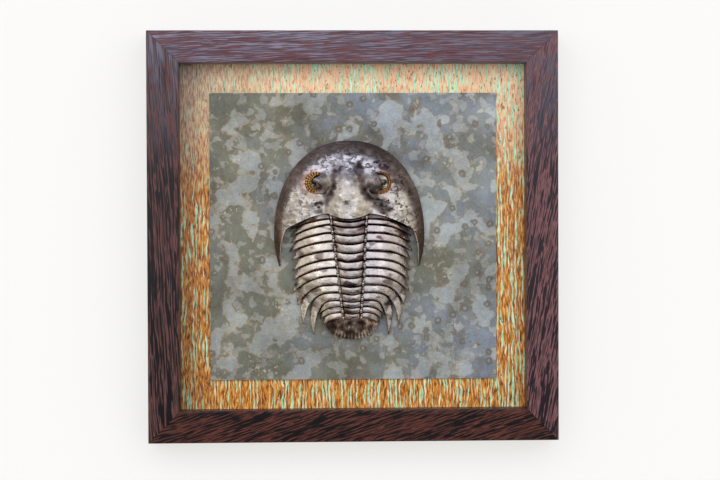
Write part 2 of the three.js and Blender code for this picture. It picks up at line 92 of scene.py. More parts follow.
def addNode(material, kind, inputs=None, stops=None, size=None, offset=(0, 0, 0), **settings):
    # one node with its settings and links; a pattern's size is in mm, the same all round or X, Y, Z
    inputs = dict(inputs or {})
    if size:
        sides = size if isinstance(size, tuple) else (size,) * 3
        inputs["Vector"] = addNode(material, "Mapping", {
            "Vector": inputs["Vector"], "Location": offset, "Scale": [1000 / side for side in sides]})[0]
        inputs["Scale"] = 1.0
    node = material.node_tree.nodes.new("ShaderNode" + kind)
    for key, value in settings.items():
        setattr(node, key, value)
    if stops:
        elements = node.color_ramp.elements
        elements.remove(elements[1])
        elements[0].position = stops[0][0]
        for i, (position, color) in enumerate(stops):
            element = elements[0] if i == 0 else elements.new(position)
            element.color = hexLinear(color) if isinstance(color, str) else (color, color, color, 1)
    setInputs(material, node, inputs)
    return node.outputs


def finishMaterial(material, shaderInputs, height=None, bumpDistance=0.2, bumpStrength=1.0):
    # the bump distance is in mm
    if height is not None:
        shaderInputs["Normal"] = addNode(material, "Bump", {
            "Height": height, "Distance": bumpDistance * mm, "Strength": bumpStrength})[0]
    setInputs(material, material.node_tree.nodes["Principled BSDF"], shaderInputs)
    return material


def giveFinish(piece, material):
    piece.data.materials.clear()
    piece.data.materials.append(material)


wenge = {
    "bandWidth": 5.0,        # mm across one group of closer lines
    "bandLength": 70.0,
    "sway": 3.5,             # mm the grain wanders
    "swayLength": 95.0,
    "swayWidth": 28.0,
    "sheenTone": "#7b7785",    # painted sheen: the colour the room's light gives the dense lines where it is reflected
    "sheenFrom": 0.06,         # m above the middle where they begin to shine, and where they shine most
    "sheenFull": 0.19,
}


def wengeWood(name, turn, slant, shift, spacing, lineWidth, lineLength, shine, darkest, brown):
    # oiled wenge, planed and sanded: near-black lines of dense wood that shine a little, in softer
    # red-brown; real lines are 0.3 to 1 mm wide, drawn no finer than they show
    material, add = newMaterial(name)
    place = add("TexCoord")["Object"]
    turned = math.radians(turn + slant)
    grain = add("Mapping", {"Vector": place, "Rotation": (0, turned, 0), "Location": shift})[0]
    wander = add("TexNoise", {"Vector": grain, "Detail": 1.5},
                 size=(wenge["swayLength"], wenge["swayWidth"], wenge["swayWidth"]))[0]
    sway = add("Math", {0: wander, 1: 2 * wenge["sway"] * mm}, operation="MULTIPLY")[0]
    aside = add("CombineXYZ", {"Z": sway})[0]
    bent = add("VectorMath", {0: grain, 1: aside}, operation="ADD")[0]

    # fine lines in wider bands
    lines = add("TexNoise", {"Vector": bent, "Detail": 1.0}, size=(lineLength, lineWidth, lineWidth))[0]
    bands = add("TexNoise", {"Vector": bent, "Detail": 2.0},
                size=(wenge["bandLength"], wenge["bandWidth"], wenge["bandWidth"]))[0]
    both = add("Math", {0: bands, 1: 0.4}, operation="MULTIPLY")[0]
    both = add("Math", {0: lines, 1: 0.6, 2: both}, operation="MULTIPLY_ADD")[0]
    # pale and dark layers lie one on the other at an even spacing, broken along their length
    across = add("SeparateXYZ", {"Vector": bent})["Z"]
    broken = add("TexNoise", {"Vector": bent, "Detail": 1.0},
                 size=(lineLength * 1.5, spacing * 2.2, spacing * 2.2))[0]
    phase = add("Math", {0: broken, 1: 8.0}, operation="MULTIPLY")[0]
    phase = add("Math", {0: across, 1: 2000 * math.pi / spacing, 2: phase}, operation="MULTIPLY_ADD")[0]
    layers = add("Math", {0: phase}, operation="SINE")[0]
    both = add("Math", {0: layers, 1: 0.045, 2: both}, operation="MULTIPLY_ADD")[0]
    color = add("ValToRGB", {"Fac": both}, stops=[
        (0.44, darkest), (0.480, darkest), (0.505, brown[0]), (0.545, brown[1]), (0.64, brown[0])])[0]

    # painted sheen: the dense lines of the upper parts are mixed towards a cool reflected tone, most on the
    # left, with thin dark lines between
    where = add("SeparateXYZ", {"Vector": place})
    sheened = add("MapRange", {"Value": where["Z"], "To Max": shine,
                             "From Min": wenge["sheenFrom"], "From Max": wenge["sheenFull"]})[0]
    leftMost = add("MapRange", {"Value": where["X"], "From Min": -0.04, "From Max": 0.20,
                                "To Min": 1.0, "To Max": 0.5})[0]
    thin = add("TexNoise", {"Vector": bent, "Detail": 1.0},
               size=(lineLength * 1.4, lineWidth * 0.7, lineWidth * 0.7))[0]
    thin = add("MapRange", {"Value": thin, "From Min": 0.42, "From Max": 0.50, "To Min": 0.15})[0]
    dense = add("MapRange", {"Value": both, "From Min": 0.475, "From Max": 0.525,
                             "To Min": 1.0, "To Max": 0.06})[0]
    for mask in (leftMost, thin, dense):
        sheened = add("Math", {0: sheened, 1: mask}, operation="MULTIPLY")[0]
    color = add("MixRGB", {"Fac": sheened, "Color1": color, "Color2": wenge["sheenTone"]})[0]
    rough = add("MapRange", {"Value": both, "From Min": 0.45, "From Max": 0.55,
                             "To Min": 0.32, "To Max": 0.5})[0]
    return finishMaterial(material, {"Base Color": color, "Roughness": rough, "Specular IOR Level": 0.3},
                          height=both, bumpDistance=0.3, bumpStrength=0.5)


# the top and right rails have lighter, cooler tones and the bottom rail darker ones: painted sheen and
# painted shade of how the light falls on each rail
rails = {  # turn and slant of the grain in degrees, spacing, width and length of its lines in mm
    "rail_top": dict(turn=0, slant=2, shift=(0.31, 0.0, 0.02), spacing=2.2, lineWidth=0.9,
                     lineLength=20.0, shine=0.98, darkest="#2e2127", brown=("#3e2428", "#6c403f")),
    "rail_bottom": dict(turn=0, slant=19, shift=(0.77, 0.0, 0.53), spacing=3.0, lineWidth=1.0,
                        lineLength=16.0, shine=0.0, darkest="#080202", brown=("#2e120a", "#60301f")),
    "rail_left": dict(turn=90, slant=3, shift=(0.12, 0.0, 0.91), spacing=3.2, lineWidth=1.3,
                      lineLength=24.0, shine=0.66, darkest="#0b0505", brown=("#33201c", "#623d35")),
    "rail_right": dict(turn=90, slant=-10, shift=(0.47, 0.0, 0.37), spacing=3.0, lineWidth=1.2,
                       lineLength=15.0, shine=0.92, darkest="#1c1218", brown=("#4a2f2f", "#7c5350")),
}
for name, cut in rails.items():
    giveFinish(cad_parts[name], wengeWood("oiledWenge_" + name, **cut))
print("frame: four wenge rails")


board = {
    "mintSpacing": 3.5,      # mm from one mint streak to the next
    "streakLength": 20.0,
    "fineWidth": 1.25,
    "fineLength": 8.0,
    "wander": 1.6,           # mm that a streak bends aside
    "speckWidth": 1.2,
    "speckLength": 4.0,
    "tintSize": 28.0,
    "stainedBefore": -0.0115,    # m; the stained face lies in front of this
}


def stainedOpenGrain():
    # open-grained board, wire-brushed, stained orange-brown, with pale mint rubbed into the grain
    # under a thin gloss coat: saturated low down, and towards the top paler and brighter with a painted sheen
    # of the light from above
    material, add = newMaterial("stainedOpenGrainBoard")
    place = add("TexCoord")["Object"]
    where = add("SeparateXYZ", {"Vector": place})
    wander = add("TexNoise", {"Vector": place, "Detail": 2.0}, size=(9, 9, 24), offset=(0, 4, 0))[0]
    wander = add("Math", {0: wander, 1: 0.5}, operation="SUBTRACT")[0]
    wander = add("Math", {0: wander, 1: 4 * board["wander"] * mm}, operation="MULTIPLY")[0]
    aside = add("CombineXYZ", {"X": wander})[0]
    bent = add("VectorMath", {0: place, 1: aside}, operation="ADD")[0]

    # evenly spaced streaks that come and go along their length, fewer on the left
    phase = add("TexNoise", {"Vector": place, "Detail": 1.0}, size=(16, 16, 60), offset=(6, 0, 2))[0]
    phase = add("Math", {0: phase, 1: 9.0}, operation="MULTIPLY")[0]
    across = add("SeparateXYZ", {"Vector": bent})["X"]
    phase = add("Math", {0: across, 1: 2000 * math.pi / board["mintSpacing"], 2: phase},
                operation="MULTIPLY_ADD")[0]
    phase = add("Math", {0: phase}, operation="SINE")[0]
    streak = board["mintSpacing"] * 0.8
    comes = add("TexNoise", {"Vector": bent, "Detail": 1.0}, size=(streak, streak, board["streakLength"]),
                offset=(2, 8, 5))[0]
    comes = add("Math", {0: comes, 1: 6.0, 2: -3.15}, operation="MULTIPLY_ADD")[0]
    amount = add("Math", {0: phase, 1: comes}, operation="ADD")[0]
    amount = add("Math", {0: amount, 1: 0.2, 2: 0.5}, operation="MULTIPLY_ADD")[0]
    leftSide = add("Math", {0: where["X"], 1: -0.142}, operation="LESS_THAN")[0]
    amount = add("Math", {0: leftSide, 1: -0.05, 2: amount}, operation="MULTIPLY_ADD")[0]

    # the stain: saturated below, pale above with painted sheen, with pinker clouds
    fine = add("TexNoise", {"Vector": bent, "Detail": 2.0}, offset=(3, 7, 1),
               size=(board["fineWidth"], board["fineWidth"], board["fineLength"]))[0]
    low = add("ValToRGB", {"Fac": fine}, stops=[
        (0.33, "#4f2a04"), (0.41, "#955203"), (0.50, "#c67a06"), (0.58, "#d08e20"), (0.67, "#e6bf78")])[0]
    high = add("ValToRGB", {"Fac": fine}, stops=[
        (0.34, "#dca070"), (0.43, "#ffc096"), (0.50, "#ffdcb4"), (0.56, "#f6f0b4"), (0.64, "#cdf8b6")])[0]
    upperSheen = add("MapRange", {"Value": where["Z"], "From Min": 0.05, "From Max": 0.17})[0]
    color = add("MixRGB", {"Fac": upperSheen, "Color1": low, "Color2": high})[0]
    pinker = add("TexNoise", {"Vector": place, "Detail": 1.0}, offset=(1, 1, 9),
                 size=(board["tintSize"], board["tintSize"], 3 * board["tintSize"]))[0]
    pinker = add("ValToRGB", {"Fac": pinker}, stops=[(0.45, 0.0), (0.6, 0.5)])[0]
    pinker = add("Math", {0: upperSheen, 1: pinker}, operation="MULTIPLY")[0]
    color = add("MixRGB", {"Fac": pinker, "Color1": color, "Color2": "#e0a070"})[0]

    # mint with a pale halo, and dark open pores
    halo = add("ValToRGB", {"Fac": amount}, stops=[(0.57, 0.0), (0.63, 0.6)])[0]
    color = add("MixRGB", {"Fac": halo, "Color1": color, "Color2": "#e6c9a6"})[0]
    lowMint = add("ValToRGB", {"Fac": fine}, stops=[
        (0.38, "#86cc92"), (0.50, "#aaeab2"), (0.62, "#d8f8cc")])[0]
    highMint = add("ValToRGB", {"Fac": fine}, stops=[
        (0.38, "#6fd8a0"), (0.50, "#8cf0c6"), (0.62, "#bcffe8")])[0]
    mint = add("MixRGB", {"Fac": upperSheen, "Color1": lowMint, "Color2": highMint})[0]
    minted = add("ValToRGB", {"Fac": amount}, stops=[(0.64, 0.0), (0.68, 0.9)])[0]
    color = add("MixRGB", {"Fac": minted, "Color1": color, "Color2": mint})[0]
    pores = add("TexNoise", {"Vector": bent, "Detail": 1.0}, offset=(9, 0, 3),
                size=(board["speckWidth"], board["speckWidth"], board["speckLength"]))[0]
    pores = add("ValToRGB", {"Fac": pores}, stops=[(0.635, 0.0), (0.70, 0.7)])[0]
    color = add("MixRGB", {"Fac": pores, "Color1": color, "Color2": "#4a2c12"})[0]

    # painted sheen: a grey-brown haze of reflected light lies in the upper left corner; the left strip is
    # darker
    corner = add("Math", {0: where["Z"], 1: where["X"]}, operation="SUBTRACT")[0]
    corner = add("MapRange", {"Value": corner, "From Min": 0.20, "From Max": 0.33, "To Max": 0.85})[0]
    cornerHaze = add("ValToRGB", {"Fac": fine}, stops=[(0.36, "#5c4838"), (0.5, "#987859"), (0.62, "#c69f79")])[0]
    color = add("MixRGB", {"Fac": corner, "Color1": color, "Color2": cornerHaze})[0]
    dimmed = add("MapRange", {"Value": where["X"], "From Min": -0.160, "From Max": -0.138, "To Min": 0.63})[0]
    color = add("VectorMath", {0: color, "Scale": dimmed}, operation="SCALE")[0]

    # only the face is stained: edges and back are raw ply
    raw = add("TexNoise", {"Vector": place, "Detail": 3.0}, size=(3, 3, 60), offset=(2, 2, 2))[0]
    raw = add("ValToRGB", {"Fac": raw}, stops=[(0.35, "#a88460"), (0.65, "#c7a680")])[0]
    back = add("Math", {0: where["Y"], 1: board["stainedBefore"]}, operation="GREATER_THAN")[0]
    color = add("MixRGB", {"Fac": back, "Color1": color, "Color2": raw})[0]
    return finishMaterial(material, {"Base Color": color, "Roughness": 0.40, "Coat Weight": 0.12,
                                     "Coat Roughness": 0.2}, height=fine, bumpDistance=0.25, bumpStrength=0.5)


giveFinish(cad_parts["backing_board"], stainedOpenGrain())
print("board: stained open grain")


zinc = {
    "cloud": 75.0,           # mm across the slow change from olive to blue
    "stain": 30.0,
    "spangle": 21.0,         # mm across one pale crystal patch
    "smallSpangle": 9.0,
    "spot": 12.5,            # mm from one brown spot to the next
    "speck": 7.0,
    "mottle": 6.0,
    "ragged": 2.2,           # mm by which edges wander
}


def weatheredGalvanised():
    # hot-dip galvanised sheet, weathered by acid: pale crystal patches with thin tan rims on an
    # olive and blue-grey ground, brown spots with pale hearts, a dull half-metal sheen
    material, add = newMaterial("weatheredGalvanisedSheet")
    place = add("TexCoord")["Object"]
    where = add("SeparateXYZ", {"Vector": place})
    drift = add("TexNoise", {"Vector": place, "Detail": 2.0}, size=5.0)["Color"]
    drift = add("VectorMath", {0: drift, 1: (0.5, 0.5, 0.5)}, operation="SUBTRACT")[0]
    drift = add("VectorMath", {0: drift, "Scale": 2 * zinc["ragged"] * mm}, operation="SCALE")[0]
    ragged = add("VectorMath", {0: place, 1: drift}, operation="ADD")[0]

    # the ground, bluer on the right, with olive stains
    blueness = add("TexNoise", {"Vector": place, "Detail": 3.0}, size=zinc["cloud"], offset=(2, 0, 5))[0]
    blueness = add("Math", {0: where["X"], 1: 0.9, 2: blueness}, operation="MULTIPLY_ADD")[0]
    color = add("ValToRGB", {"Fac": blueness}, stops=[
        (0.38, "#6b6d5b"), (0.47, "#71756a"), (0.56, "#767d7b"), (0.66, "#7b858a")])[0]
    stain = add("TexNoise", {"Vector": ragged, "Detail": 3.0, "Roughness": 0.55}, size=zinc["stain"],
                offset=(1, 9, 4))[0]
    stained = add("ValToRGB", {"Fac": stain}, stops=[(0.50, 0.0), (0.60, 0.65)])[0]
    color = add("MixRGB", {"Fac": stained, "Color1": color, "Color2": "#67634e"})[0]

    # crystal patches, small ones under large ones
    palest = add("ValToRGB", {"Fac": blueness}, stops=[
        (0.42, "#929486"), (0.54, "#99a199"), (0.66, "#a3adae")])[0]
    laced = add("TexNoise", {"Vector": place, "Detail": 1.0}, size=14.0, offset=(9, 4, 2))[0]
    laced = add("ValToRGB", {"Fac": laced}, stops=[(0.50, 0.0), (0.62, 0.9)])[0]
    for size, offset, line, strength in ((zinc["smallSpangle"], (5, 2, 7), 0.585, 0.55),
                                         (zinc["spangle"], (7, 3, 1), 0.555, 0.85)):
        crystal = add("TexNoise", {"Vector": ragged, "Detail": 2.5, "Roughness": 0.45, "Distortion": 0.25},
                      size=size, offset=offset)[0]
        rim = add("ValToRGB", {"Fac": crystal}, stops=[
            (line - 0.040, 0.0), (line - 0.008, 0.7 * strength)])[0]
        color = add("MixRGB", {"Fac": rim, "Color1": color, "Color2": "#857c64"})[0]
        inside = add("ValToRGB", {"Fac": crystal}, stops=[(line - 0.006, 0.0), (line + 0.010, strength)])[0]
        patch = add("ValToRGB", {"Fac": crystal}, stops=[
            (line, "#9a9480"), (line + 0.035, "#979c93"), (line + 0.09, "#97a2a4")])[0]
        patch = add("MixRGB", {"Fac": 0.65, "Color1": patch, "Color2": palest})[0]
        color = add("MixRGB", {"Fac": inside, "Color1": color, "Color2": patch})[0]
        lace = add("ValToRGB", {"Fac": crystal}, stops=[
            (line - 0.010, 0.0), (line, strength), (line + 0.010, 0.0)])[0]
        lace = add("Math", {0: lace, 1: laced}, operation="MULTIPLY")[0]
        color = add("MixRGB", {"Fac": lace, "Color1": color, "Color2": "#b3a88a"})[0]

    # brown spots of different sizes with pale hearts, then small dark specks
    spots = add("TexVoronoi", {"Vector": ragged, "Randomness": 1.0}, size=zinc["spot"], offset=(4, 2, 8))
    chance = add("SeparateXYZ", {"Vector": spots["Color"]})
    away = add("MapRange", {"Value": chance["Y"], "To Min": 1.7, "To Max": 0.85})[0]
    away = add("Math", {0: spots["Distance"], 1: away}, operation="MULTIPLY")[0]
    chosen = add("Math", {0: chance["X"], 1: 0.58}, operation="GREATER_THAN")[0]
    for tone, stops in (("#6a6048", [(0.23, 0.85), (0.33, 0.0)]), ("#868f96", [(0.07, 0.9), (0.15, 0.0)])):
        spot = add("ValToRGB", {"Fac": away}, stops=stops)[0]
        spot = add("Math", {0: spot, 1: chosen}, operation="MULTIPLY")[0]
        color = add("MixRGB", {"Fac": spot, "Color1": color, "Color2": hexLinear(tone)})[0]
    specks = add("TexVoronoi", {"Vector": ragged, "Randomness": 1.0}, size=zinc["speck"], offset=(1, 6, 3))
    chosen = add("SeparateXYZ", {"Vector": specks["Color"]})["X"]
    chosen = add("Math", {0: chosen, 1: 0.6}, operation="GREATER_THAN")[0]
    speck = add("ValToRGB", {"Fac": specks["Distance"]}, stops=[(0.09, 0.7), (0.15, 0.0)])[0]
    speck = add("Math", {0: speck, 1: chosen}, operation="MULTIPLY")[0]
    color = add("MixRGB", {"Fac": speck, "Color1": color, "Color2": "#5f5a49"})[0]

    # white bloom in a few places
    bloom = add("TexNoise", {"Vector": place, "Detail": 3.0, "Roughness": 0.7}, size=3.0, offset=(8, 8, 2))[0]
    bloom = add("ValToRGB", {"Fac": bloom}, stops=[(0.56, 0.0), (0.66, 0.8)])[0]
    rare = add("TexNoise", {"Vector": place, "Detail": 1.0}, size=30.0, offset=(3, 5, 9))[0]
    rare = add("ValToRGB", {"Fac": rare}, stops=[(0.60, 0.0), (0.68, 1.0)])[0]
    bloom = add("Math", {0: bloom, 1: rare}, operation="MULTIPLY")[0]
    color = add("MixRGB", {"Fac": bloom, "Color1": color, "Color2": "#c0bb9e"})[0]

    # painted light: brighter towards the upper right, where more light falls; the tone is also cloudy,
    # mottled and grainy
    lightAndMottle = add("Math", {0: where["X"], 1: where["Z"]}, operation="ADD")[0]
    lightAndMottle = add("Math", {0: lightAndMottle, 1: 0.30, 2: -0.23}, operation="MULTIPLY_ADD")[0]
    grain = add("TexNoise", {"Vector": place, "Detail": 2.0, "Roughness": 0.6}, size=1.8)[0]
    cloudy = add("TexNoise", {"Vector": place, "Detail": 1.0}, size=45.0, offset=(6, 1, 3))[0]
    mottle = add("TexNoise", {"Vector": place, "Detail": 3.0, "Roughness": 0.6}, size=zinc["mottle"],
                 offset=(4, 4, 4))[0]
    for pattern, weight in ((grain, 0.6), (cloudy, 1.1), (mottle, 0.7)):
        lightAndMottle = add("Math", {0: pattern, 1: weight, 2: lightAndMottle}, operation="MULTIPLY_ADD")[0]
    color = add("VectorMath", {0: color, "Scale": lightAndMottle}, operation="SCALE")[0]
    rough = add("MapRange", {"Value": stain, "From Min": 0.4, "From Max": 0.65,
                             "To Min": 0.45, "To Max": 0.62})[0]
    return finishMaterial(material, {"Base Color": color, "Roughness": rough, "Metallic": 0.3},
                          height=grain, bumpDistance=0.05, bumpStrength=0.5)


giveFinish(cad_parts["galvanised_sheet"], weatheredGalvanised())
print("sheet: weathered galvanised steel")


steelMasks = ("browningAndShade", "dent", "straw", "coolSheen")


def hammeredSteel(name, tints, dents, roughness, bumpStrength):
    # mild steel, hammered cold, ground bright and torch-coloured. Its attributes hold how far the flame has
    # browned it, with painted shade and painted shadow in the same mask,
    # "straw" where it left a copper tint, "dent" how pitted it is, and where a painted blue sheen, the cool
    # light from above reflected, lies on it
    material, add = newMaterial(name)
    place = add("TexCoord")["Object"]
    browningAndShade, dent, straw, coolSheen = (add("Attribute", attribute_name=mask)["Fac"] for mask in steelMasks)
    uneven = add("TexNoise", {"Vector": place, "Detail": 3.0}, size=8.0, offset=(3, 1, 2))[0]
    browned = add("Math", {0: uneven, 1: 0.5}, operation="SUBTRACT")[0]
    browned = add("Math", {0: browned, 1: 0.55, 2: browningAndShade}, operation="MULTIPLY_ADD")[0]
    color = add("ValToRGB", {"Fac": browned}, stops=tints)[0]
    color = add("MixRGB", {"Fac": straw, "Color1": color, "Color2": "#a8642f"})[0]

    # short hollows of the hammer, wider than they are high, in some places more than in others; painted shade
    # darkens them
    pits = add("TexNoise", {"Vector": place, "Detail": 1.5, "Distortion": 0.5}, offset=(2, 7, 4),
               size=(dents, dents, dents / 1.5))[0]
    deep = add("MapRange", {"Value": pits, "From Min": 0.41, "From Max": 0.47, "To Min": -1.0, "To Max": 0.0},
               interpolation_type="SMOOTHSTEP")[0]
    here = add("TexNoise", {"Vector": place, "Detail": 1.0}, size=11.0, offset=(7, 1, 6))[0]
    here = add("MapRange", {"Value": here, "From Min": 0.42, "From Max": 0.56})[0]
    for mask in (dent, here):
        deep = add("Math", {0: deep, 1: mask}, operation="MULTIPLY")[0]
    pitShade = add("Math", {0: deep, 1: 0.65, 2: 1.0}, operation="MULTIPLY_ADD")[0]
    color = add("VectorMath", {0: color, "Scale": pitShade}, operation="SCALE")[0]
    # painted reflection: a blue sheen of the cool light from above
    color = add("MixRGB", {"Fac": coolSheen, "Color1": color, "Color2": "#bcc0e6"},
                blend_type="MULTIPLY")[0]

    # soft beats, flatter where the flame has been, with the hollows and a fine tooth
    smooth = add("Math", {0: browningAndShade, 1: -1.1, 2: 1.2}, operation="MULTIPLY_ADD")[0]
    beats = add("TexNoise", {"Vector": place, "Detail": 1.0}, size=7.0, offset=(0, 5, 0))[0]
    beats = add("Math", {0: beats, 1: smooth}, operation="MULTIPLY")[0]
    tooth = add("TexNoise", {"Vector": place, "Detail": 2.0}, size=2.6, offset=(5, 0, 0))[0]
    height = add("Math", {0: deep, 1: 2.2}, operation="MULTIPLY")[0]
    for pattern, weight in ((beats, 1.6), (tooth, 0.2)):
        height = add("Math", {0: pattern, 1: weight, 2: height}, operation="MULTIPLY_ADD")[0]
    rough = add("MapRange", {"Value": uneven, "From Min": 0.35, "From Max": 0.65,
                             "To Min": roughness[0], "To Max": roughness[1]})[0]
    return finishMaterial(material, {"Base Color": color, "Roughness": rough, "Metallic": 1.0},
                          height=height, bumpDistance=0.5, bumpStrength=bumpStrength)


headSteel = hammeredSteel("torchedHammeredSteel", [
    (0.0, "#b8b4a6"), (0.25, "#9f9a8d"), (0.42, "#7a746b"), (0.58, "#5a534f"), (0.74, "#50473f"),
    (0.9, "#3c342d"), (1.0, "#25201d")], dents=5.0, roughness=(0.22, 0.32), bumpStrength=1.0)
plateSteel = hammeredSteel("groundSteelPlate", [
    (0.0, "#bcb5a3"), (0.25, "#a39b8b"), (0.42, "#80776c"), (0.58, "#66574c"), (0.74, "#3e312c"),
    (0.9, "#201816"), (1.0, "#0c0909")], dents=4.0, roughness=(0.22, 0.32), bumpStrength=0.5)
tailSteel = hammeredSteel("flameBrownedSteel", [
    (0.0, "#b3a08f"), (0.35, "#8c7b6c"), (0.6, "#5e5045"), (1.0, "#332a25")],
    dents=3.0, roughness=(0.28, 0.42), bumpStrength=0.4)


def knurledBrass():
    # yellow brass rod stock with a knurl, browned to copper by the torch in the grooves
    material, add = newMaterial("knurledTorchedBrass")
    browningAndShade = add("Attribute", attribute_name="browningAndShade")["Fac"]
    color = add("ValToRGB", {"Fac": browningAndShade}, stops=[
        (0.0, "#e6bd72"), (0.35, "#b57c42"), (0.7, "#573618"), (1.0, "#1a100a")])[0]
    return finishMaterial(material, {"Base Color": color, "Roughness": 0.30, "Metallic": 1.0})


def brightZinc():
    # zinc-plated steel hardware: bright blue-white metal with a soft even grain
    material, add = newMaterial("zincPlatedSteel")
    speckle = add("TexNoise", {"Vector": add("TexCoord")["Object"], "Scale": 900.0, "Detail": 2.0})[0]
    rough = add("MapRange", {"Value": speckle, "To Min": 0.28, "To Max": 0.5})[0]
    color = add("ValToRGB", {"Fac": speckle}, stops=[(0.3, "#a9adb0"), (0.7, "#c6cacd")])[0]
    return finishMaterial(material, {"Base Color": color, "Roughness": rough, "Metallic": 1.0},
                          height=speckle, bumpDistance=0.03, bumpStrength=0.5)


def moldedRubber():
    # black EPDM bumper, moulded: matte with a faint dusty bloom
    material, add = newMaterial("mouldedBlackRubber")
    bloom = add("TexNoise", {"Vector": add("TexCoord")["Object"], "Scale": 350.0, "Detail": 3.0})[0]
    color = add("ValToRGB", {"Fac": bloom}, stops=[(0.35, "#161616"), (0.7, "#2a2928")])[0]
    return finishMaterial(material, {"Base Color": color, "Roughness": 0.78}, height=bloom,
                          bumpDistance=0.05, bumpStrength=0.5)


brassFinish = knurledBrass()
zincFinish, rubberFinish = brightZinc(), moldedRubber()
for name in ("hanger", "nail_left", "nail_right", "post_head", "post_tail"):
    giveFinish(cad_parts[name], zincFinish)
for name in ("bumper_left", "bumper_right"):
    giveFinish(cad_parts[name], rubberFinish)
print("back: hanger, nails and bumpers")


# the animal, in mm on the sheet: u right, v to the head, h off the sheet

sheetFront = -14.6
bodyX = -2.4
tipHeight = 4.2


def onSheet(u, v, h):
    return Vector(((bodyX + u) * mm, (sheetFront - h) * mm, v * mm))


def axisCentre(v):
    return along([(22, -2.8), (-81, 0.7)], v)


def axisHalf(v):
    return along([(22, 17.9), (-81, 8.8), (-102, 6)], v)


def furrowHeight(v):
    return along([(22, 21), (-40, 18.5), (-65, 14.5), (-81, 10.5), (-102, 5)], v)


def axisRise(v):
    return along([(22, 5.6), (-81, 3.4), (-102, 1)], v)


def sideReach(v):
    return along([(-39, 60), (-48, 57.5), (-56, 51.5), (-63, 44), (-69, 37.5), (-75, 34.5), (-81, 32),
                  (-87, 29)], v)


def bodyHeight(u, v):
    off = abs(u - axisCentre(v))
    half = axisHalf(v)
    furrow = furrowHeight(v)
    if off < half:
        t = off / half
        return furrow + axisRise(v) * (1 - t * t) ** 0.75
    s = min(1.0, (off - half) / (sideReach(v) - half))
    return tipHeight + (furrow - tipHeight) * (1 - s ** 2.1)


def clearSelection():
    if bpy.context.object and bpy.context.object.mode != "OBJECT":
        bpy.ops.object.mode_set(mode="OBJECT")
    bpy.ops.object.select_all(action="DESELECT")


def pickOnly(*pieces):
    clearSelection()
    for piece in pieces:
        piece.select_set(True)
    bpy.context.view_layer.objects.active = pieces[0]


def sheetMetal(name, columns, rows, form, masks):
    # a flat grid of metal, beaten to form(s, t), with s along its columns and t across its rows;
    # masks(s, t) gives the steel masks in their order, and one that is left out stays 0
    clearSelection()
    bpy.ops.mesh.primitive_grid_add(x_subdivisions=columns, y_subdivisions=rows, size=1)
    piece = bpy.context.object
    piece.name = name
    for mask in steelMasks:
        piece.data.attributes.new(mask, "FLOAT", "POINT")
    layers = [piece.data.attributes[mask].data for mask in steelMasks]
    for vertex in piece.data.vertices:
        s = clamp(vertex.co.x + 0.5)
        t = clamp(vertex.co.y + 0.5)
        vertex.co = form(s, t)
        for layer, value in zip(layers, masks(s, t)):
            layer[vertex.index].value = value
    return piece


def faceFront(piece):
    # turns the sheet so that its faces look away from the wall
    total = sum((polygon.normal * polygon.area for polygon in piece.data.polygons), Vector())
    if total.y > 0:
        piece.data.flip_normals()


def giveGauge(piece, gauge):
    # thickens the sheet towards the wall
    modifier = piece.modifiers.new("gauge", "SOLIDIFY")
    modifier.thickness = gauge * mm
    modifier.offset = -1
    pickOnly(piece)
    bpy.ops.object.modifier_apply(modifier="gauge")


def smoothShade(piece, degrees):
    pickOnly(piece)
    bpy.ops.object.shade_smooth_by_angle(angle=math.radians(degrees))


def joinPieces(name, pieces):
    pickOnly(*pieces)
    bpy.ops.object.join()
    pieces[0].name = name
    return pieces[0]


def fitOnFrame(piece, material, node):
    giveFinish(piece, material)
    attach(piece, "root")
    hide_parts(node)


# head shield

head = {
    "centreU": -1.5, "axisU": -2.8, "halfWidth": 74.7, "widestV": 1.2, "length": 93.8, "squareness": 2.15,
    "rimHeight": 4.2, "domeHeight": 17.5, "domeFlatness": 3.2,
    "rearMiddleV": 17.6, "rearFurrowV": 22.8, "rearCornerU": 63, "rearCornerV": 7.4,
    "spineTipV": -29.6, "spineTipWidth": 1.0, "spineShare": 0.2, "gauge": 1.0,
    "bulgeRise": [(18, 8.4), (42, 8.2), (54, 6.2), (66, 4.2)],
    "bulgeRear": 20.3, "bulgeFront": 78, "bulgeFade": 26,
    "bulgeHalf": [(18, 25), (30, 25), (40, 23), (48, 19), (58, 16.5), (67, 15), (80, 13)],
    # painted shade from one spot to another, its width and how dark it is
    "shadeStreaks": [((-13, 68), (-19, 52), 5, 0.70), ((-18, 50), (-26, 34), 5.5, 0.74),
              ((6, 70), (12, 52), 5.5, 0.76), ((13, 48), (34, 26), 8, 0.80), ((-34, 28), (-30, 26), 7, 0.5)],
}
eye = {
    # -1 is the left side, 1 the right
    "outU": 31.5, "v": 53, "baseRadius": 11.0, "topRadius": {-1: 4.4, 1: 6.6}, "height": {-1: 5.6, 1: 6.4},
    "lean": {-1: 0.35, 1: 1.0}, "lensHalfAngle": 108, "lensGap": 0.3, "knurl": 2.6,
    "innerRadius": 14.5, "innerTop": 2.5, "innerHeight": 4.8, "hollow": 3.0, "brow": 1.0,
}


def headHalfWidth(v):
    back = head["widestV"] - v
    if back >= 0:
        return head["halfWidth"] - 0.0054 * back * back
    share = min(1.0, -back / head["length"])
    return head["halfWidth"] * (1 - share ** head["squareness"]) ** (1 / head["squareness"])


def headReach(u, v):
    # 0 on the axis, 1 at the rim
    across = abs(u - head["centreU"])
    if v <= head["widestV"]:
        return across / headHalfWidth(v)
    forward = ((v - head["widestV"]) / head["length"]) ** head["squareness"]
    return ((across / head["halfWidth"]) ** head["squareness"] + forward) ** (1 / head["squareness"])


def headHeight(u, v):
    reach = min(1.0, headReach(u, v))
    dome = head["rimHeight"] + head["domeHeight"] * (1 - reach ** head["domeFlatness"])
    t = abs(u - head["axisU"]) / along(head["bulgeHalf"], v)
    fade = smoothStep(head["bulgeFront"] - v, 0, head["bulgeFade"])
    lobe = (1 - t * t) ** 1.5 if t < 1 else 0.0
    return dome + along(head["bulgeRise"], v) * lobe * fade


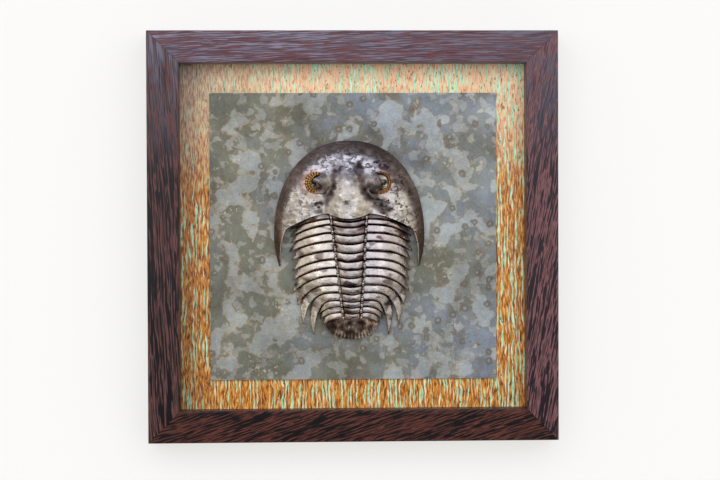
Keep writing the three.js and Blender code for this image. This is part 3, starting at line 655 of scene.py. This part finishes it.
def headOuterEdge(t):
    # from the right spine's tip round the brow to the left one's
    side = 1 if t < 0.5 else -1
    fromTip = 1 - abs(2 * t - 1)
    spineShare = head["spineShare"]
    if fromTip < spineShare:
        v = lerp(head["spineTipV"], head["widestV"], fromTip / spineShare)
        return head["centreU"] + side * headHalfWidth(v), v
    angle = (fromTip - spineShare) / (1 - spineShare) * math.pi / 2
    power = 2 / head["squareness"]
    u = head["halfWidth"] * max(0.0, math.cos(angle)) ** power
    return head["centreU"] + side * u, head["widestV"] + head["length"] * math.sin(angle) ** power


def headInnerEdge(t):
    side = 1 if t < 0.5 else -1
    fromTip = 1 - abs(2 * t - 1)
    spineShare = head["spineShare"]
    if fromTip < spineShare:
        s = fromTip / spineShare
        tipHalf = headHalfWidth(head["spineTipV"]) - head["spineTipWidth"]
        u = lerp(tipHalf, head["rearCornerU"], s ** 3)
        return head["centreU"] + side * u, lerp(head["spineTipV"], head["rearCornerV"], s)
    s = (fromTip - spineShare) / (1 - spineShare)
    u = lerp(head["rearCornerU"], 0, s)
    if u < head["bulgeRear"]:
        dip = head["rearFurrowV"] - head["rearMiddleV"]
        return head["axisU"] + side * u, head["rearMiddleV"] + dip * (u / head["bulgeRear"]) ** 2
    out = (u - head["bulgeRear"]) / (head["rearCornerU"] - head["bulgeRear"])
    v = lerp(head["rearFurrowV"], head["rearCornerV"], out ** 1.6)
    return lerp(head["axisU"], head["centreU"], out) + side * u, v


def headPlace(s, t):
    outer = headOuterEdge(s)
    inner = headInnerEdge(s)
    share = t ** 1.2
    return lerp(outer[0], inner[0], share), lerp(outer[1], inner[1], share)


def fold(distance, width):
    return math.exp(-(distance / width) ** 2)


def headDetail(u, v):
    # what the hammer left that the plain form hasn't: mm up or down
    off = abs(u - head["axisU"])
    edge = along(head["bulgeHalf"], v)
    detail = -1.3 * fold(off - edge, 5.0) * smoothStep(v, 12, 30) * smoothStep(-v, -62, -44)
    # two shallow dents low on the bulge, and a knock on the left cheek
    detail -= 0.5 * fold(math.hypot(u + 4.0, v - 31.0), 3.6)
    detail -= 0.5 * fold(math.hypot(u + 1.0, v - 25.0), 3.2)
    detail += 0.4 * fold(math.hypot(u + 5.5, v - 36.5), 2.6)
    detail -= 0.8 * fold(math.hypot(u + 32.0, v - 30.0) - 2.4, 1.3)
    # hand-beaten waviness
    detail += 0.55 * noise.noise(Vector((u / 12, v / 12, 1.7)))
    detail += 0.30 * noise.noise(Vector((u / 5.0, v / 5.0, 4.1)))
    return detail


def eyeLobe(x, z, side):
    # mm of rise over the seat at x outward, z to the rear: steep where the lens stands, a soft
    # slope to the bulge on the inner side, and a hollow behind
    top = eye["topRadius"][side]
    radius = math.hypot(x, z)
    outer = smoothStep(x / max(radius, 0.01), -0.75, -0.25)
    foot = lerp(eye["innerRadius"], eye["baseRadius"], outer)
    brink = lerp(eye["innerTop"], top, outer)
    share = clamp((foot - radius) / (foot - brink))
    share = lerp(share * share * (3 - 2 * share), share, outer)
    rise = lerp(eye["innerHeight"], eye["height"][side], outer) * share
    crown = clamp(1 - radius / top)
    rise += eye["brow"] * crown
    rise -= eye["hollow"] * fold(math.hypot(x - 2.5, z - top * 0.45), 3.4) * smoothStep(share, 0.8, 1.0)
    return rise


def headForm(s, t):
    u, v = headPlace(s, t)
    rim = smoothStep(1 - headReach(u, v), 0.0, 0.14)
    rear = smoothStep(t, 1.0, 0.86)
    spot = onSheet(u, v, headHeight(u, v) + headDetail(u, v) * rim * (0.35 + 0.65 * rear))
    side = -1 if u < head["axisU"] else 1
    if math.hypot(u - head["axisU"] - side * eye["outU"], v - eye["v"]) < 24:
        seat = seats[side]
        local = seat.inverted() @ (spot / mm)
        rearward = local.z * (1 if seat[2][2] < 0 else -1)
        local.y += eyeLobe(local.x, rearward, side)
        spot = (seat @ local) * mm
    return spot


def headMasks(s, t):
    u, v = headPlace(s, t)
    reach = headReach(u, v)
    side = -1 if u < head["axisU"] else 1
    off = abs(u - head["axisU"])
    low = along([(-30, 0.80), (10, 0.86), (45, 0.84), (95, 0.83)], v)
    high = along([(-30, 0.95), (10, 0.97), (45, 0.94), (95, 0.92)], v)
    # painted shade: on the right the dark rim band is widened, where the dark room is reflected
    if side > 0:
        wider = fold(v - 62, 18) * smoothStep(off, 22, 32)
        low -= 0.03 + 0.09 * wider
        high -= 0.01 + 0.05 * wider
    # painted highlight: the top of the bulge is left bright; elsewhere the middle of the head is browner than
    # the brow
    shine = fold(math.hypot((u + 4.5) / 8, (v - 57) / 12), 1.0)
    base = 0.20 + 0.26 * smoothStep(v, 34, 58) * (1 - shine) * (1 - smoothStep(v, 60, 66))
    base -= 0.08 * smoothStep(v, 60, 66)
    browningAndShade = lerp(base, 0.80, smoothStep(reach, low, high))
    straw = 0.22 * fold((browningAndShade - 0.45) / 0.2, 1.0) * smoothStep(-v, -30, 10)
    for lean in (-1, 1):
        away = math.hypot(u - head["axisU"] - lean * eye["outU"], v - eye["v"])
        outside = smoothStep((u - head["axisU"]) * lean, eye["outU"] - 10, eye["outU"])
        straw = max(straw, (0.22 if lean < 0 else 0.08) * fold(away - 13.0, 2.8) * outside)
        # the eye lobes are browned and darkened with painted shade, and the hollows behind them have a
        # painted shadow
        lobe = math.hypot(u - head["axisU"] - lean * (eye["outU"] - 5), v - eye["v"] + 1)
        hollow = math.hypot(u - head["axisU"] - lean * (eye["outU"] - 2), v - eye["v"] + 4)
        browningAndShade = max(browningAndShade, 0.62 * fold(lobe, 9.0), 0.88 * fold(hollow, 5.5))
    # painted shade beside the bulge and about the dimple of the left cheek
    mottle = noise.noise(Vector((u / 5, v / 5, 9.1)))
    for (u0, v0), (u1, v1), width, strength in head["shadeStreaks"]:
        share = clamp(((u - u0) * (u1 - u0) + (v - v0) * (v1 - v0)) / ((u1 - u0) ** 2 + (v1 - v0) ** 2))
        away = math.hypot(u - lerp(u0, u1, share), v - lerp(v0, v1, share))
        browningAndShade = max(browningAndShade, clamp(strength + 0.5 * mottle) * fold(away, width))
    # the spines' inner edges are ground bright
    brink = lerp(0.962, 0.84, smoothStep(-v, -6, 4))
    ground = smoothStep(t, brink, brink + 0.03)
    browningAndShade = lerp(browningAndShade, 0.10, ground * smoothStep(-v, -23, -21) * smoothStep(off, 20, 24))
    dent = smoothStep(v, 60, 70) * smoothStep(-reach, -0.93, -0.86)
    cheek = smoothStep(off, 22, 36) * smoothStep(-reach, -0.97, -0.86)
    dent = max(dent, cheek * (0.9 if side > 0 else 0.4), 0.12)
    # painted reflection: the brow inside the rim has the most blue sheen of the cool light from above, and
    # the right side a little
    coolSheen = 0.10 + 0.40 * smoothStep(v, 56, 66) * smoothStep(-reach, -0.93, -0.84)
    coolSheen += 0.10 * smoothStep(u, 0, 30)
    return clamp(browningAndShade), clamp(dent), clamp(straw), coolSheen


def eyeFrame(side):
    # the seat of an eye on the dome, in mm: X outward, Y off the sheet, Z to the rear or the front
    u = head["axisU"] + side * eye["outU"]
    step = 6
    lean = eye["lean"][side] / (2 * step)
    slopeU = (headHeight(u + step, eye["v"]) - headHeight(u - step, eye["v"])) * lean
    slopeV = (headHeight(u, eye["v"] + step) - headHeight(u, eye["v"] - step)) * lean
    normal = Vector((-slopeU, -1, -slopeV)).normalized()
    outward = Vector((side, 0, 0))
    upward = normal.cross(outward).normalized()
    outward = upward.cross(normal)
    seat = onSheet(u, eye["v"], headHeight(u, eye["v"])) / mm
    return Matrix((
        (outward.x, normal.x, -upward.x, seat.x),
        (outward.y, normal.y, -upward.y, seat.y),
        (outward.z, normal.z, -upward.z, seat.z),
        (0, 0, 0, 1)))


def eyeLens(side):
    top = eye["topRadius"][side]
    rise, run = eye["height"][side] + 0.4, eye["baseRadius"] - top
    slant = math.hypot(rise, run)
    seat = eyeFrame(side)
    beads = round(2 * math.radians(eye["lensHalfAngle"]) * 9 / eye["knurl"])

    def knurlAt(s, t):
        return abs(math.sin(math.pi * beads * s)) * abs(math.sin(math.pi * 3 * t)) if 0 < t < 1 else 0

    def form(s, t):
        turn = 2 * s - 1
        angle = math.radians(turn * eye["lensHalfAngle"])
        share = 0.5 + 0.68 * (1 - turn * turn)
        level = min(lerp(0.10, share, t), 0.98)
        off = eye["lensGap"] + 0.6 + 0.5 * knurlAt(s, t)
        radius = eye["baseRadius"] - run * level + off * rise / slant
        height = -0.4 + rise * level + off * run / slant
        return (seat @ Vector((radius * math.cos(angle), height, radius * math.sin(angle)))) * mm

    def masks(s, t):
        knurl = knurlAt(s, t)
        worn = 0.92 - 1.15 * knurl if side < 0 else 0.5 - 0.4 * knurl
        return clamp(worn + 0.2 * (abs(2 * s - 1) ** 3)), 0.0, 0.0

    lens = sheetMetal("eyeLens", beads * 6, 30, form, masks)
    faceFront(lens)
    giveGauge(lens, 0.4)
    smoothShade(lens, 60)
    return lens


seats = {side: eyeFrame(side) for side in (-1, 1)}
headPiece = sheetMetal("headShieldHammered", 330, 124, headForm, headMasks)
faceFront(headPiece)
giveGauge(headPiece, head["gauge"])
smoothShade(headPiece, 50)
fitOnFrame(headPiece, headSteel, "head_shield")
for side, name in ((-1, "eye_left"), (1, "eye_right")):
    lens = eyeLens(side)
    lens.name = "knurledLens_" + name
    fitOnFrame(lens, brassFinish, name)
print("head: hammered shield, bosses and brass lenses")


# thorax

thorax = {
    "overlap": 2.6, "gauge": 1.0, "liftFront": -1.9, "liftRear": 1.7, "camber": 0.55, "ringCamber": 1.1,
    "neckFront": -3.6, "lip": 0.35, "tipWidth": 0.7, "bead": 1.6, "beadRise": 0.8, "gapShadowWidth": 0.85,
}
# rear edge at the furrow, spine tip, how late each side bends back
plates = [
    (17.7, 60.2, 7.2, (1.8, 2.6)),
    (12.0, 60.2, 0.0, (1.7, 2.9)),
    (3.9, 59.8, -6.4, (1.7, 3.0)),
    (-4.5, 61.2, -15.0, (1.8, 3.2)),
    (-13.8, 59.0, -23.3, (1.9, 3.5)),
    (-22.4, 58.3, -33.9, (2.1, 3.6)),
    (-30.5, 57.8, -43.2, (2.3, 3.3)),
    (-38.8, 57.4, -54.7, (2.6, 3.1)),
    (-47.6, 52.7, -68.0, (3.6, 4.6)),
    (-55.3, 47.5, -87.0, (4.6, 5.5)),
    (-62.9, 37.3, -97.4, (5.2, 6.2)),
    (-69.0, 32.8, -77.3, (2.6, 3.0)),
    (-75.0, 31.1, -82.0, (2.6, 3.0)),
    (-81.4, 28.2, -87.4, (2.6, 3.0)),
]


def axisBow(v):
    return along([(18, 3.2), (-40, 2.2), (-81, 1.2)], v)


def plateTaper(index):
    # mm over which a side narrows to its tip
    return {9: 24, 10: 28}.get(index, 10 if index > 10 else 17)


def plateWidth(index):
    ahead = head["rearFurrowV"] if index == 0 else plates[index - 1][0]
    return ahead - plates[index][0] + thorax["overlap"]


def sideCurve(index, side, steps):
    # points along the rear edge of one side, from the furrow to the spine's tip
    rear, tipU, tipV, bends = plates[index]
    startU = axisCentre(rear) + side * axisHalf(rear)
    bend = bends[0 if side < 0 else 1]
    count = 400
    fine = [Vector((lerp(startU, side * tipU, i / count), lerp(rear, tipV, (i / count) ** bend)))
            for i in range(count + 1)]
    lengths = [0.0]
    for a, b in zip(fine, fine[1:]):
        lengths.append(lengths[-1] + (b - a).length)
    total = lengths[-1]
    out = []
    i = 0
    for k in range(steps + 1):
        wanted = total * (1 - (1 - k / steps) ** 1.25)
        while i < count - 1 and lengths[i + 1] < wanted:
            i += 1
        t = (wanted - lengths[i]) / (lengths[i + 1] - lengths[i])
        forward = (fine[i + 1] - fine[i]).normalized()
        normal = Vector((-side * forward.y, side * forward.x))
        out.append((fine[i].lerp(fine[i + 1], t), normal, total - wanted))
    return out


def plateStations(index, sideSteps, ringSteps):
    # rear point, front point, width share and mm to the tip, from the left tip to the right one
    rear = plates[index][0]
    width = plateWidth(index)
    halves = []
    for side in (-1, 1):
        half = []
        for k, (point, normal, toTip) in enumerate(sideCurve(index, side, sideSteps)):
            taper = min(1.0, (max(toTip, 0) / plateTaper(index)) ** 0.8)
            front = point + normal * max(thorax["tipWidth"], width * taper)
            widening = axisHalf(front.y) - axisHalf(rear)
            lean = axisCentre(front.y) - axisCentre(rear)
            front.x += (side * widening + lean) * (1 - k / sideSteps) ** 3
            half.append((point, front, taper, toTip))
        halves.append(half)
    ring = []
    for k in range(1, ringSteps):
        t = -1 + 2 * k / ringSteps
        point = Vector((axisCentre(rear) + axisHalf(rear) * t, rear - axisBow(rear) * (1 - t * t)))
        aheadV = point.y + width
        front = Vector((axisCentre(aheadV) + axisHalf(aheadV) * t, aheadV))
        ring.append((point, front, 1.0, 99.0))
    return halves[0][::-1] + ring + halves[1]


def rearEdge(index):
    # the rear edge of a plate as closely set points, for what lies just behind it
    rear = plates[index][0]
    spots = [item[0] for side in (-1, 1) for item in sideCurve(index, side, 500)]
    for k in range(201):
        t = k / 100 - 1
        spots.append(Vector((axisCentre(rear) + axisHalf(rear) * t, rear - axisBow(rear) * (1 - t * t))))
    tree = kdtree.KDTree(len(spots))
    for i, spot in enumerate(spots):
        tree.insert((spot.x, spot.y, 0), i)
    tree.balance()
    return tree


def plateLift(index, across, taper, ring=0.0):
    start = thorax["neckFront"] if index == 0 else thorax["liftFront"]
    slope = lerp(start, thorax["liftRear"], across)
    arch = lerp(thorax["camber"], thorax["ringCamber"], ring) * 4 * across * (1 - across)
    lip = thorax["lip"] * smoothStep(across, 0.86, 1.0) ** 1.5
    return (slope + arch) * (0.35 + 0.65 * taper) - lip * taper


def makePlate(index):
    sideSteps, ringSteps, acrossSteps = 56, 28, 22
    stations = plateStations(index, sideSteps, ringSteps)
    rear = plates[index][0]
    width = plateWidth(index)
    edgeAhead = rearEdge(index - 1) if index else None

    def place(s, t):
        i = round(s * (len(stations) - 1))
        point, front, taper, toTip = stations[i]
        across = 1 - (1 - t) ** 1.15
        return front.lerp(point, across), across, taper, toTip

    def form(s, t):
        spot, across, taper, _ = place(s, t)
        beat = 0.25 * noise.noise(Vector((spot.x / 9, spot.y / 9, index * 3.1))) * taper
        fromFurrow = axisHalf(rear) - abs(spot.x - axisCentre(rear))
        pinch = -0.9 * fold(fromFurrow, 1.0)
        lift = plateLift(index, across, taper, smoothStep(fromFurrow, 0, 3))
        return onSheet(spot.x, spot.y, bodyHeight(spot.x, spot.y) + lift + beat + pinch)

    def masks(s, t):
        spot, across, _, toTip = place(s, t)
        fromFurrow = axisHalf(rear) - abs(spot.x - axisCentre(rear))
        # painted shade: darker on the plates nearest the head, in the furrow creases and over the rear half
        # of each ring; it is also a little darker on the right
        browningAndShade = 0.06 + 0.14 * smoothStep(rear, -25, 17) + 0.32 * fold(fromFurrow, 1.0)
        browningAndShade += 0.04 * smoothStep(spot.x, 0, 15)
        browningAndShade += smoothStep(fromFurrow, 0, 3) * 0.24 * smoothStep(across, 0.3, 0.65)
        smudge = noise.noise(Vector((spot.x / 11, spot.y / 5, index * 2.3)))
        browningAndShade += 0.42 * smoothStep(smudge, 0.12 if spot.x < 0 else 0.2, 0.5)
        browningAndShade += 0.14 * fold(fromFurrow + 0.8, 1.4)
        edge = smoothStep(across * width, width - 1.3, width - 0.4)
        tinted = clamp(0.1 + 1.2 * noise.noise(Vector((spot.x / 10, index * 5.1, 0.5))))
        straw = (0.7 if fromFurrow < 0 else 0.3) * edge * tinted
        browningAndShade += 0.45 * edge
        straw += 0.35 * smoothStep(-toTip, -9, 0) * smoothStep(across, 0.4, 0.9)
        # painted shade: the neck ring lies in the head's shadow
        if index == 0:
            browningAndShade += 0.22
        if index == len(plates) - 1:
            straw += 0.7 * fold(fromFurrow - 0.5, 2.6)
        if index:
            nearest, _, away = edgeAhead.find(Vector((spot.x, spot.y, 0)))
            # painted shadow: black behind the edge of the plate ahead and under it, where the gap between the
            # plates lies in shade
            if spot.y < nearest.y + 0.2 or across < 0.3:
                gapShadow = smoothStep(-away, -thorax["gapShadowWidth"] - 0.5, -thorax["gapShadowWidth"] + 0.3)
            else:
                gapShadow = 1.0 if away < thorax["overlap"] * 2 else 0.0
            browningAndShade = lerp(browningAndShade, 1.0, gapShadow)
        # painted reflection: a blue sheen, more on the right
        coolSheen = 0.10 + 0.35 * smoothStep(spot.x, -20, 12)
        return clamp(browningAndShade), 0.22, clamp(straw), coolSheen

    plate = sheetMetal(f"thoraxPlate{index:02d}", len(stations) - 1, acrossSteps, form, masks)
    faceFront(plate)
    giveGauge(plate, thorax["gauge"])
    parts = [plate]
    # two small bosses in each furrow
    for side in (-1, 1):
        for back, size in ((0.9, 1.15), (3.4, 0.75)):
            uneven = noise.noise_vector(Vector((index * 1.7, side * 3.3, back)))
            v = rear + back + 0.5 * uneven.y
            u = axisCentre(v) + side * axisHalf(v) + 0.8 * uneven.x
            size *= 1 + 0.35 * uneven.z
            across = 1 - back / 10
            h = bodyHeight(u, v) + plateLift(index, across, 1.0) + thorax["beadRise"]
            clearSelection()
            bpy.ops.mesh.primitive_uv_sphere_add(segments=14, ring_count=8, radius=thorax["bead"] * size * mm,
                                                 location=onSheet(u, v, h))
            bead = bpy.context.object
            bead.scale = (0.8, 0.9, 1.15)
            bpy.ops.object.transform_apply(location=True, rotation=True, scale=True)
            for mask, value in (("browningAndShade", 0.22), ("coolSheen", 0.4)):
                layer = bead.data.attributes.new(mask, "FLOAT", "POINT").data
                layer.foreach_set("value", [value] * len(layer))
            parts.append(bead)
    plate = joinPieces(f"thoraxPlate{index:02d}", parts)
    smoothShade(plate, 45)
    node = "neck_ring" if index == 0 else f"thorax_plate_{index:02d}"
    fitOnFrame(plate, plateSteel, node)


for index in range(len(plates)):
    makePlate(index)
print("thorax: neck ring and thirteen plates")


# tail shield

tail = {"frontV": -79.6, "halfWidth": 24.7, "widestV": -87.5, "rearV": -101.6, "ribs": 21, "scallop": 1.3,
        "crown": 6.9, "gauge": 1.0}


def tailPlace(s, t):
    centreU = axisCentre(tail["rearV"])
    angle = math.pi * s
    ripple = abs(math.sin(math.pi * tail["ribs"] * s))
    reach = 1 + ripple * tail["scallop"] / tail["halfWidth"]
    rimU = centreU + tail["halfWidth"] * reach * math.cos(angle)
    rimV = tail["widestV"] - (tail["widestV"] - tail["rearV"]) * reach * math.sin(angle)
    startU = lerp(tail["halfWidth"] - 1.5, -(tail["halfWidth"] - 1.5), s)
    startV = tail["frontV"] - 3 * (abs(startU) / tail["halfWidth"]) ** 3
    return lerp(centreU + startU, rimU, t), lerp(startV, rimV, t), ripple


def tailForm(s, t):
    u, v, ripple = tailPlace(s, t)
    aside = abs(u - axisCentre(tail["rearV"])) / tail["halfWidth"]
    crown = tail["crown"] * (1 - min(1.0, aside) ** 2.4) * (1 - t ** 2.4 * 0.95)
    flute = 0.6 * ripple * smoothStep(t, 0.35, 0.95)
    flute += 0.5 * noise.noise(Vector((u / 4, v / 4, 2.2))) * smoothStep(t, 0.0, 0.3)
    return onSheet(u, v, tipHeight - 0.6 + max(0.0, crown) + flute)


def tailMasks(s, t):
    u, v, ripple = tailPlace(s, t)
    # darker to the left
    mottle = noise.noise(Vector((u / 4.5, v / 4.5, 6.6))) - 0.012 * u
    return clamp(0.70 - 0.4 * ripple * t + 0.7 * mottle), 0.5, 0.0


tailPiece = sheetMetal("tailShieldFluted", tail["ribs"] * 10, 36, tailForm, tailMasks)
faceFront(tailPiece)
giveGauge(tailPiece, tail["gauge"])
smoothShade(tailPiece, 60)
fitOnFrame(tailPiece, tailSteel, "tail_shield")
print("tail: fluted shield")


# studio

studio = {
    "floorZ": -1.25, "wallY": 0.0045, "wallGlow": 0.72,
    "lamp": dict(place=(-0.02, -2.6, 1.2), size=(4.4, 3.0), power=78, color="#f0f0fb"),
    "roomLight": 1.2, "clutterScale": 2.2,
    "upTones": [(0.0, "#3c3a3a"), (0.48, "#26252a"), (0.54, "#3b3b45"), (0.64, "#8a8eac"), (0.80, "#c4c9ea"),
                (1.0, "#d2d6f0")],
    "sideTones": [(0.0, "#000000"), (0.28, "#14120f"), (0.55, "#b5aa9b"), (0.80, "#fff4e4"),
                  (1.0, "#e8ddcf")],
    # solved from the corners of the frame in the photo; the turn is in degrees
    "lens": 93.78, "cameraPlace": (-0.07234, -1.88069, 0.03154), "cameraTurn": (88.915, 0.2224, -2.4351),
}


def plainSurface(name, corners, color, lit=None):
    # matte painted plaster; seen from behind it isn't there, so that the back and underside can be seen
    clearSelection()
    bpy.ops.mesh.primitive_plane_add(size=1)
    surface = bpy.context.object
    surface.name = name
    for vertex, corner in zip(surface.data.vertices, corners):
        vertex.co = corner
    material, add = newMaterial(name + "Paint")
    shader = material.node_tree.nodes["Principled BSDF"]
    setInputs(material, shader, {"Base Color": lit or color, "Roughness": 0.9})
    if lit:
        setInputs(material, shader, {"Emission Color": color, "Emission Strength": studio["wallGlow"]})
    clear = add("BsdfTransparent")[0]
    mix = add("MixShader", {0: add("NewGeometry")["Backfacing"], 1: shader.outputs[0], 2: clear})[0]
    setInputs(material, material.node_tree.nodes["Material Output"], {"Surface": mix})
    surface.data.materials.append(material)


wallY, floorZ = studio["wallY"], studio["floorZ"]
plainSurface("wall", [(-4, wallY, floorZ), (4, wallY, floorZ), (-4, wallY, 3), (4, wallY, 3)],
             "#f4f4f0", lit="#8e8e8b")
plainSurface("floor", [(-3, -1.1, floorZ), (3, -1.1, floorZ), (-3, wallY, floorZ), (3, wallY, floorZ)],
             "#e9e9e6")

lamp = studio["lamp"]
light = bpy.data.lights.new("overCamera", "AREA")
light.shape = "RECTANGLE"
light.size, light.size_y = lamp["size"]
light.energy = lamp["power"]
light.color = hexLinear(lamp["color"])[:3]
holder = bpy.data.objects.new("overCamera", light)
scene.collection.objects.link(holder)
holder.location = lamp["place"]
holder.rotation_euler = (-Vector(lamp["place"])).to_track_quat("-Z", "Y").to_euler()

world = bpy.data.worlds.new("softRoom")
world.use_nodes = True
scene.world = world
# a pale room: dim ahead and below, bright walls left and right, a cooler ceiling
add = partial(addNode, world)
direction = add("TexCoord")["Generated"]
toward = add("SeparateXYZ", {"Vector": direction})
lifted = add("Math", {0: toward["Z"], 1: 0.5, 2: 0.5}, operation="MULTIPLY_ADD")[0]
above = add("ValToRGB", {"Fac": lifted}, stops=studio["upTones"])[0]
sideways = add("Math", {0: toward["X"]}, operation="ABSOLUTE")[0]
aside = add("ValToRGB", {"Fac": sideways}, stops=studio["sideTones"])[0]
even = add("MixRGB", {"Fac": 1.0, "Color1": above, "Color2": aside}, blend_type="ADD")[0]
# what stands about in a room: soft darker and lighter patches, seen only in the polished steel
clutter = add("TexNoise", {"Vector": direction, "Scale": studio["clutterScale"], "Detail": 2.0,
                           "Roughness": 0.6})[0]
patches = add("MapRange", {"Value": clutter, "From Min": 0.40, "From Max": 0.60,
                           "To Min": 0.25, "To Max": 1.45})[0]
glow = add("VectorMath", {0: even, "Scale": patches}, operation="SCALE")[0]
seen = add("LightPath")["Is Camera Ray"]
tone = add("MixRGB", {"Fac": seen, "Color1": glow, "Color2": "#d9dbda"})[0]
setInputs(world, world.node_tree.nodes["Background"], {"Color": tone, "Strength": studio["roomLight"]})

cameraData = bpy.data.cameras.new("camera")
cameraData.lens = studio["lens"]
cameraData.sensor_width = 36
camera = bpy.data.objects.new("camera", cameraData)
scene.collection.objects.link(camera)
camera.location = studio["cameraPlace"]
camera.rotation_euler = tuple(math.radians(angle) for angle in studio["cameraTurn"])
scene.camera = camera
scene.view_settings.view_transform = "Standard"
print("studio: wall, floor, lamp and camera")
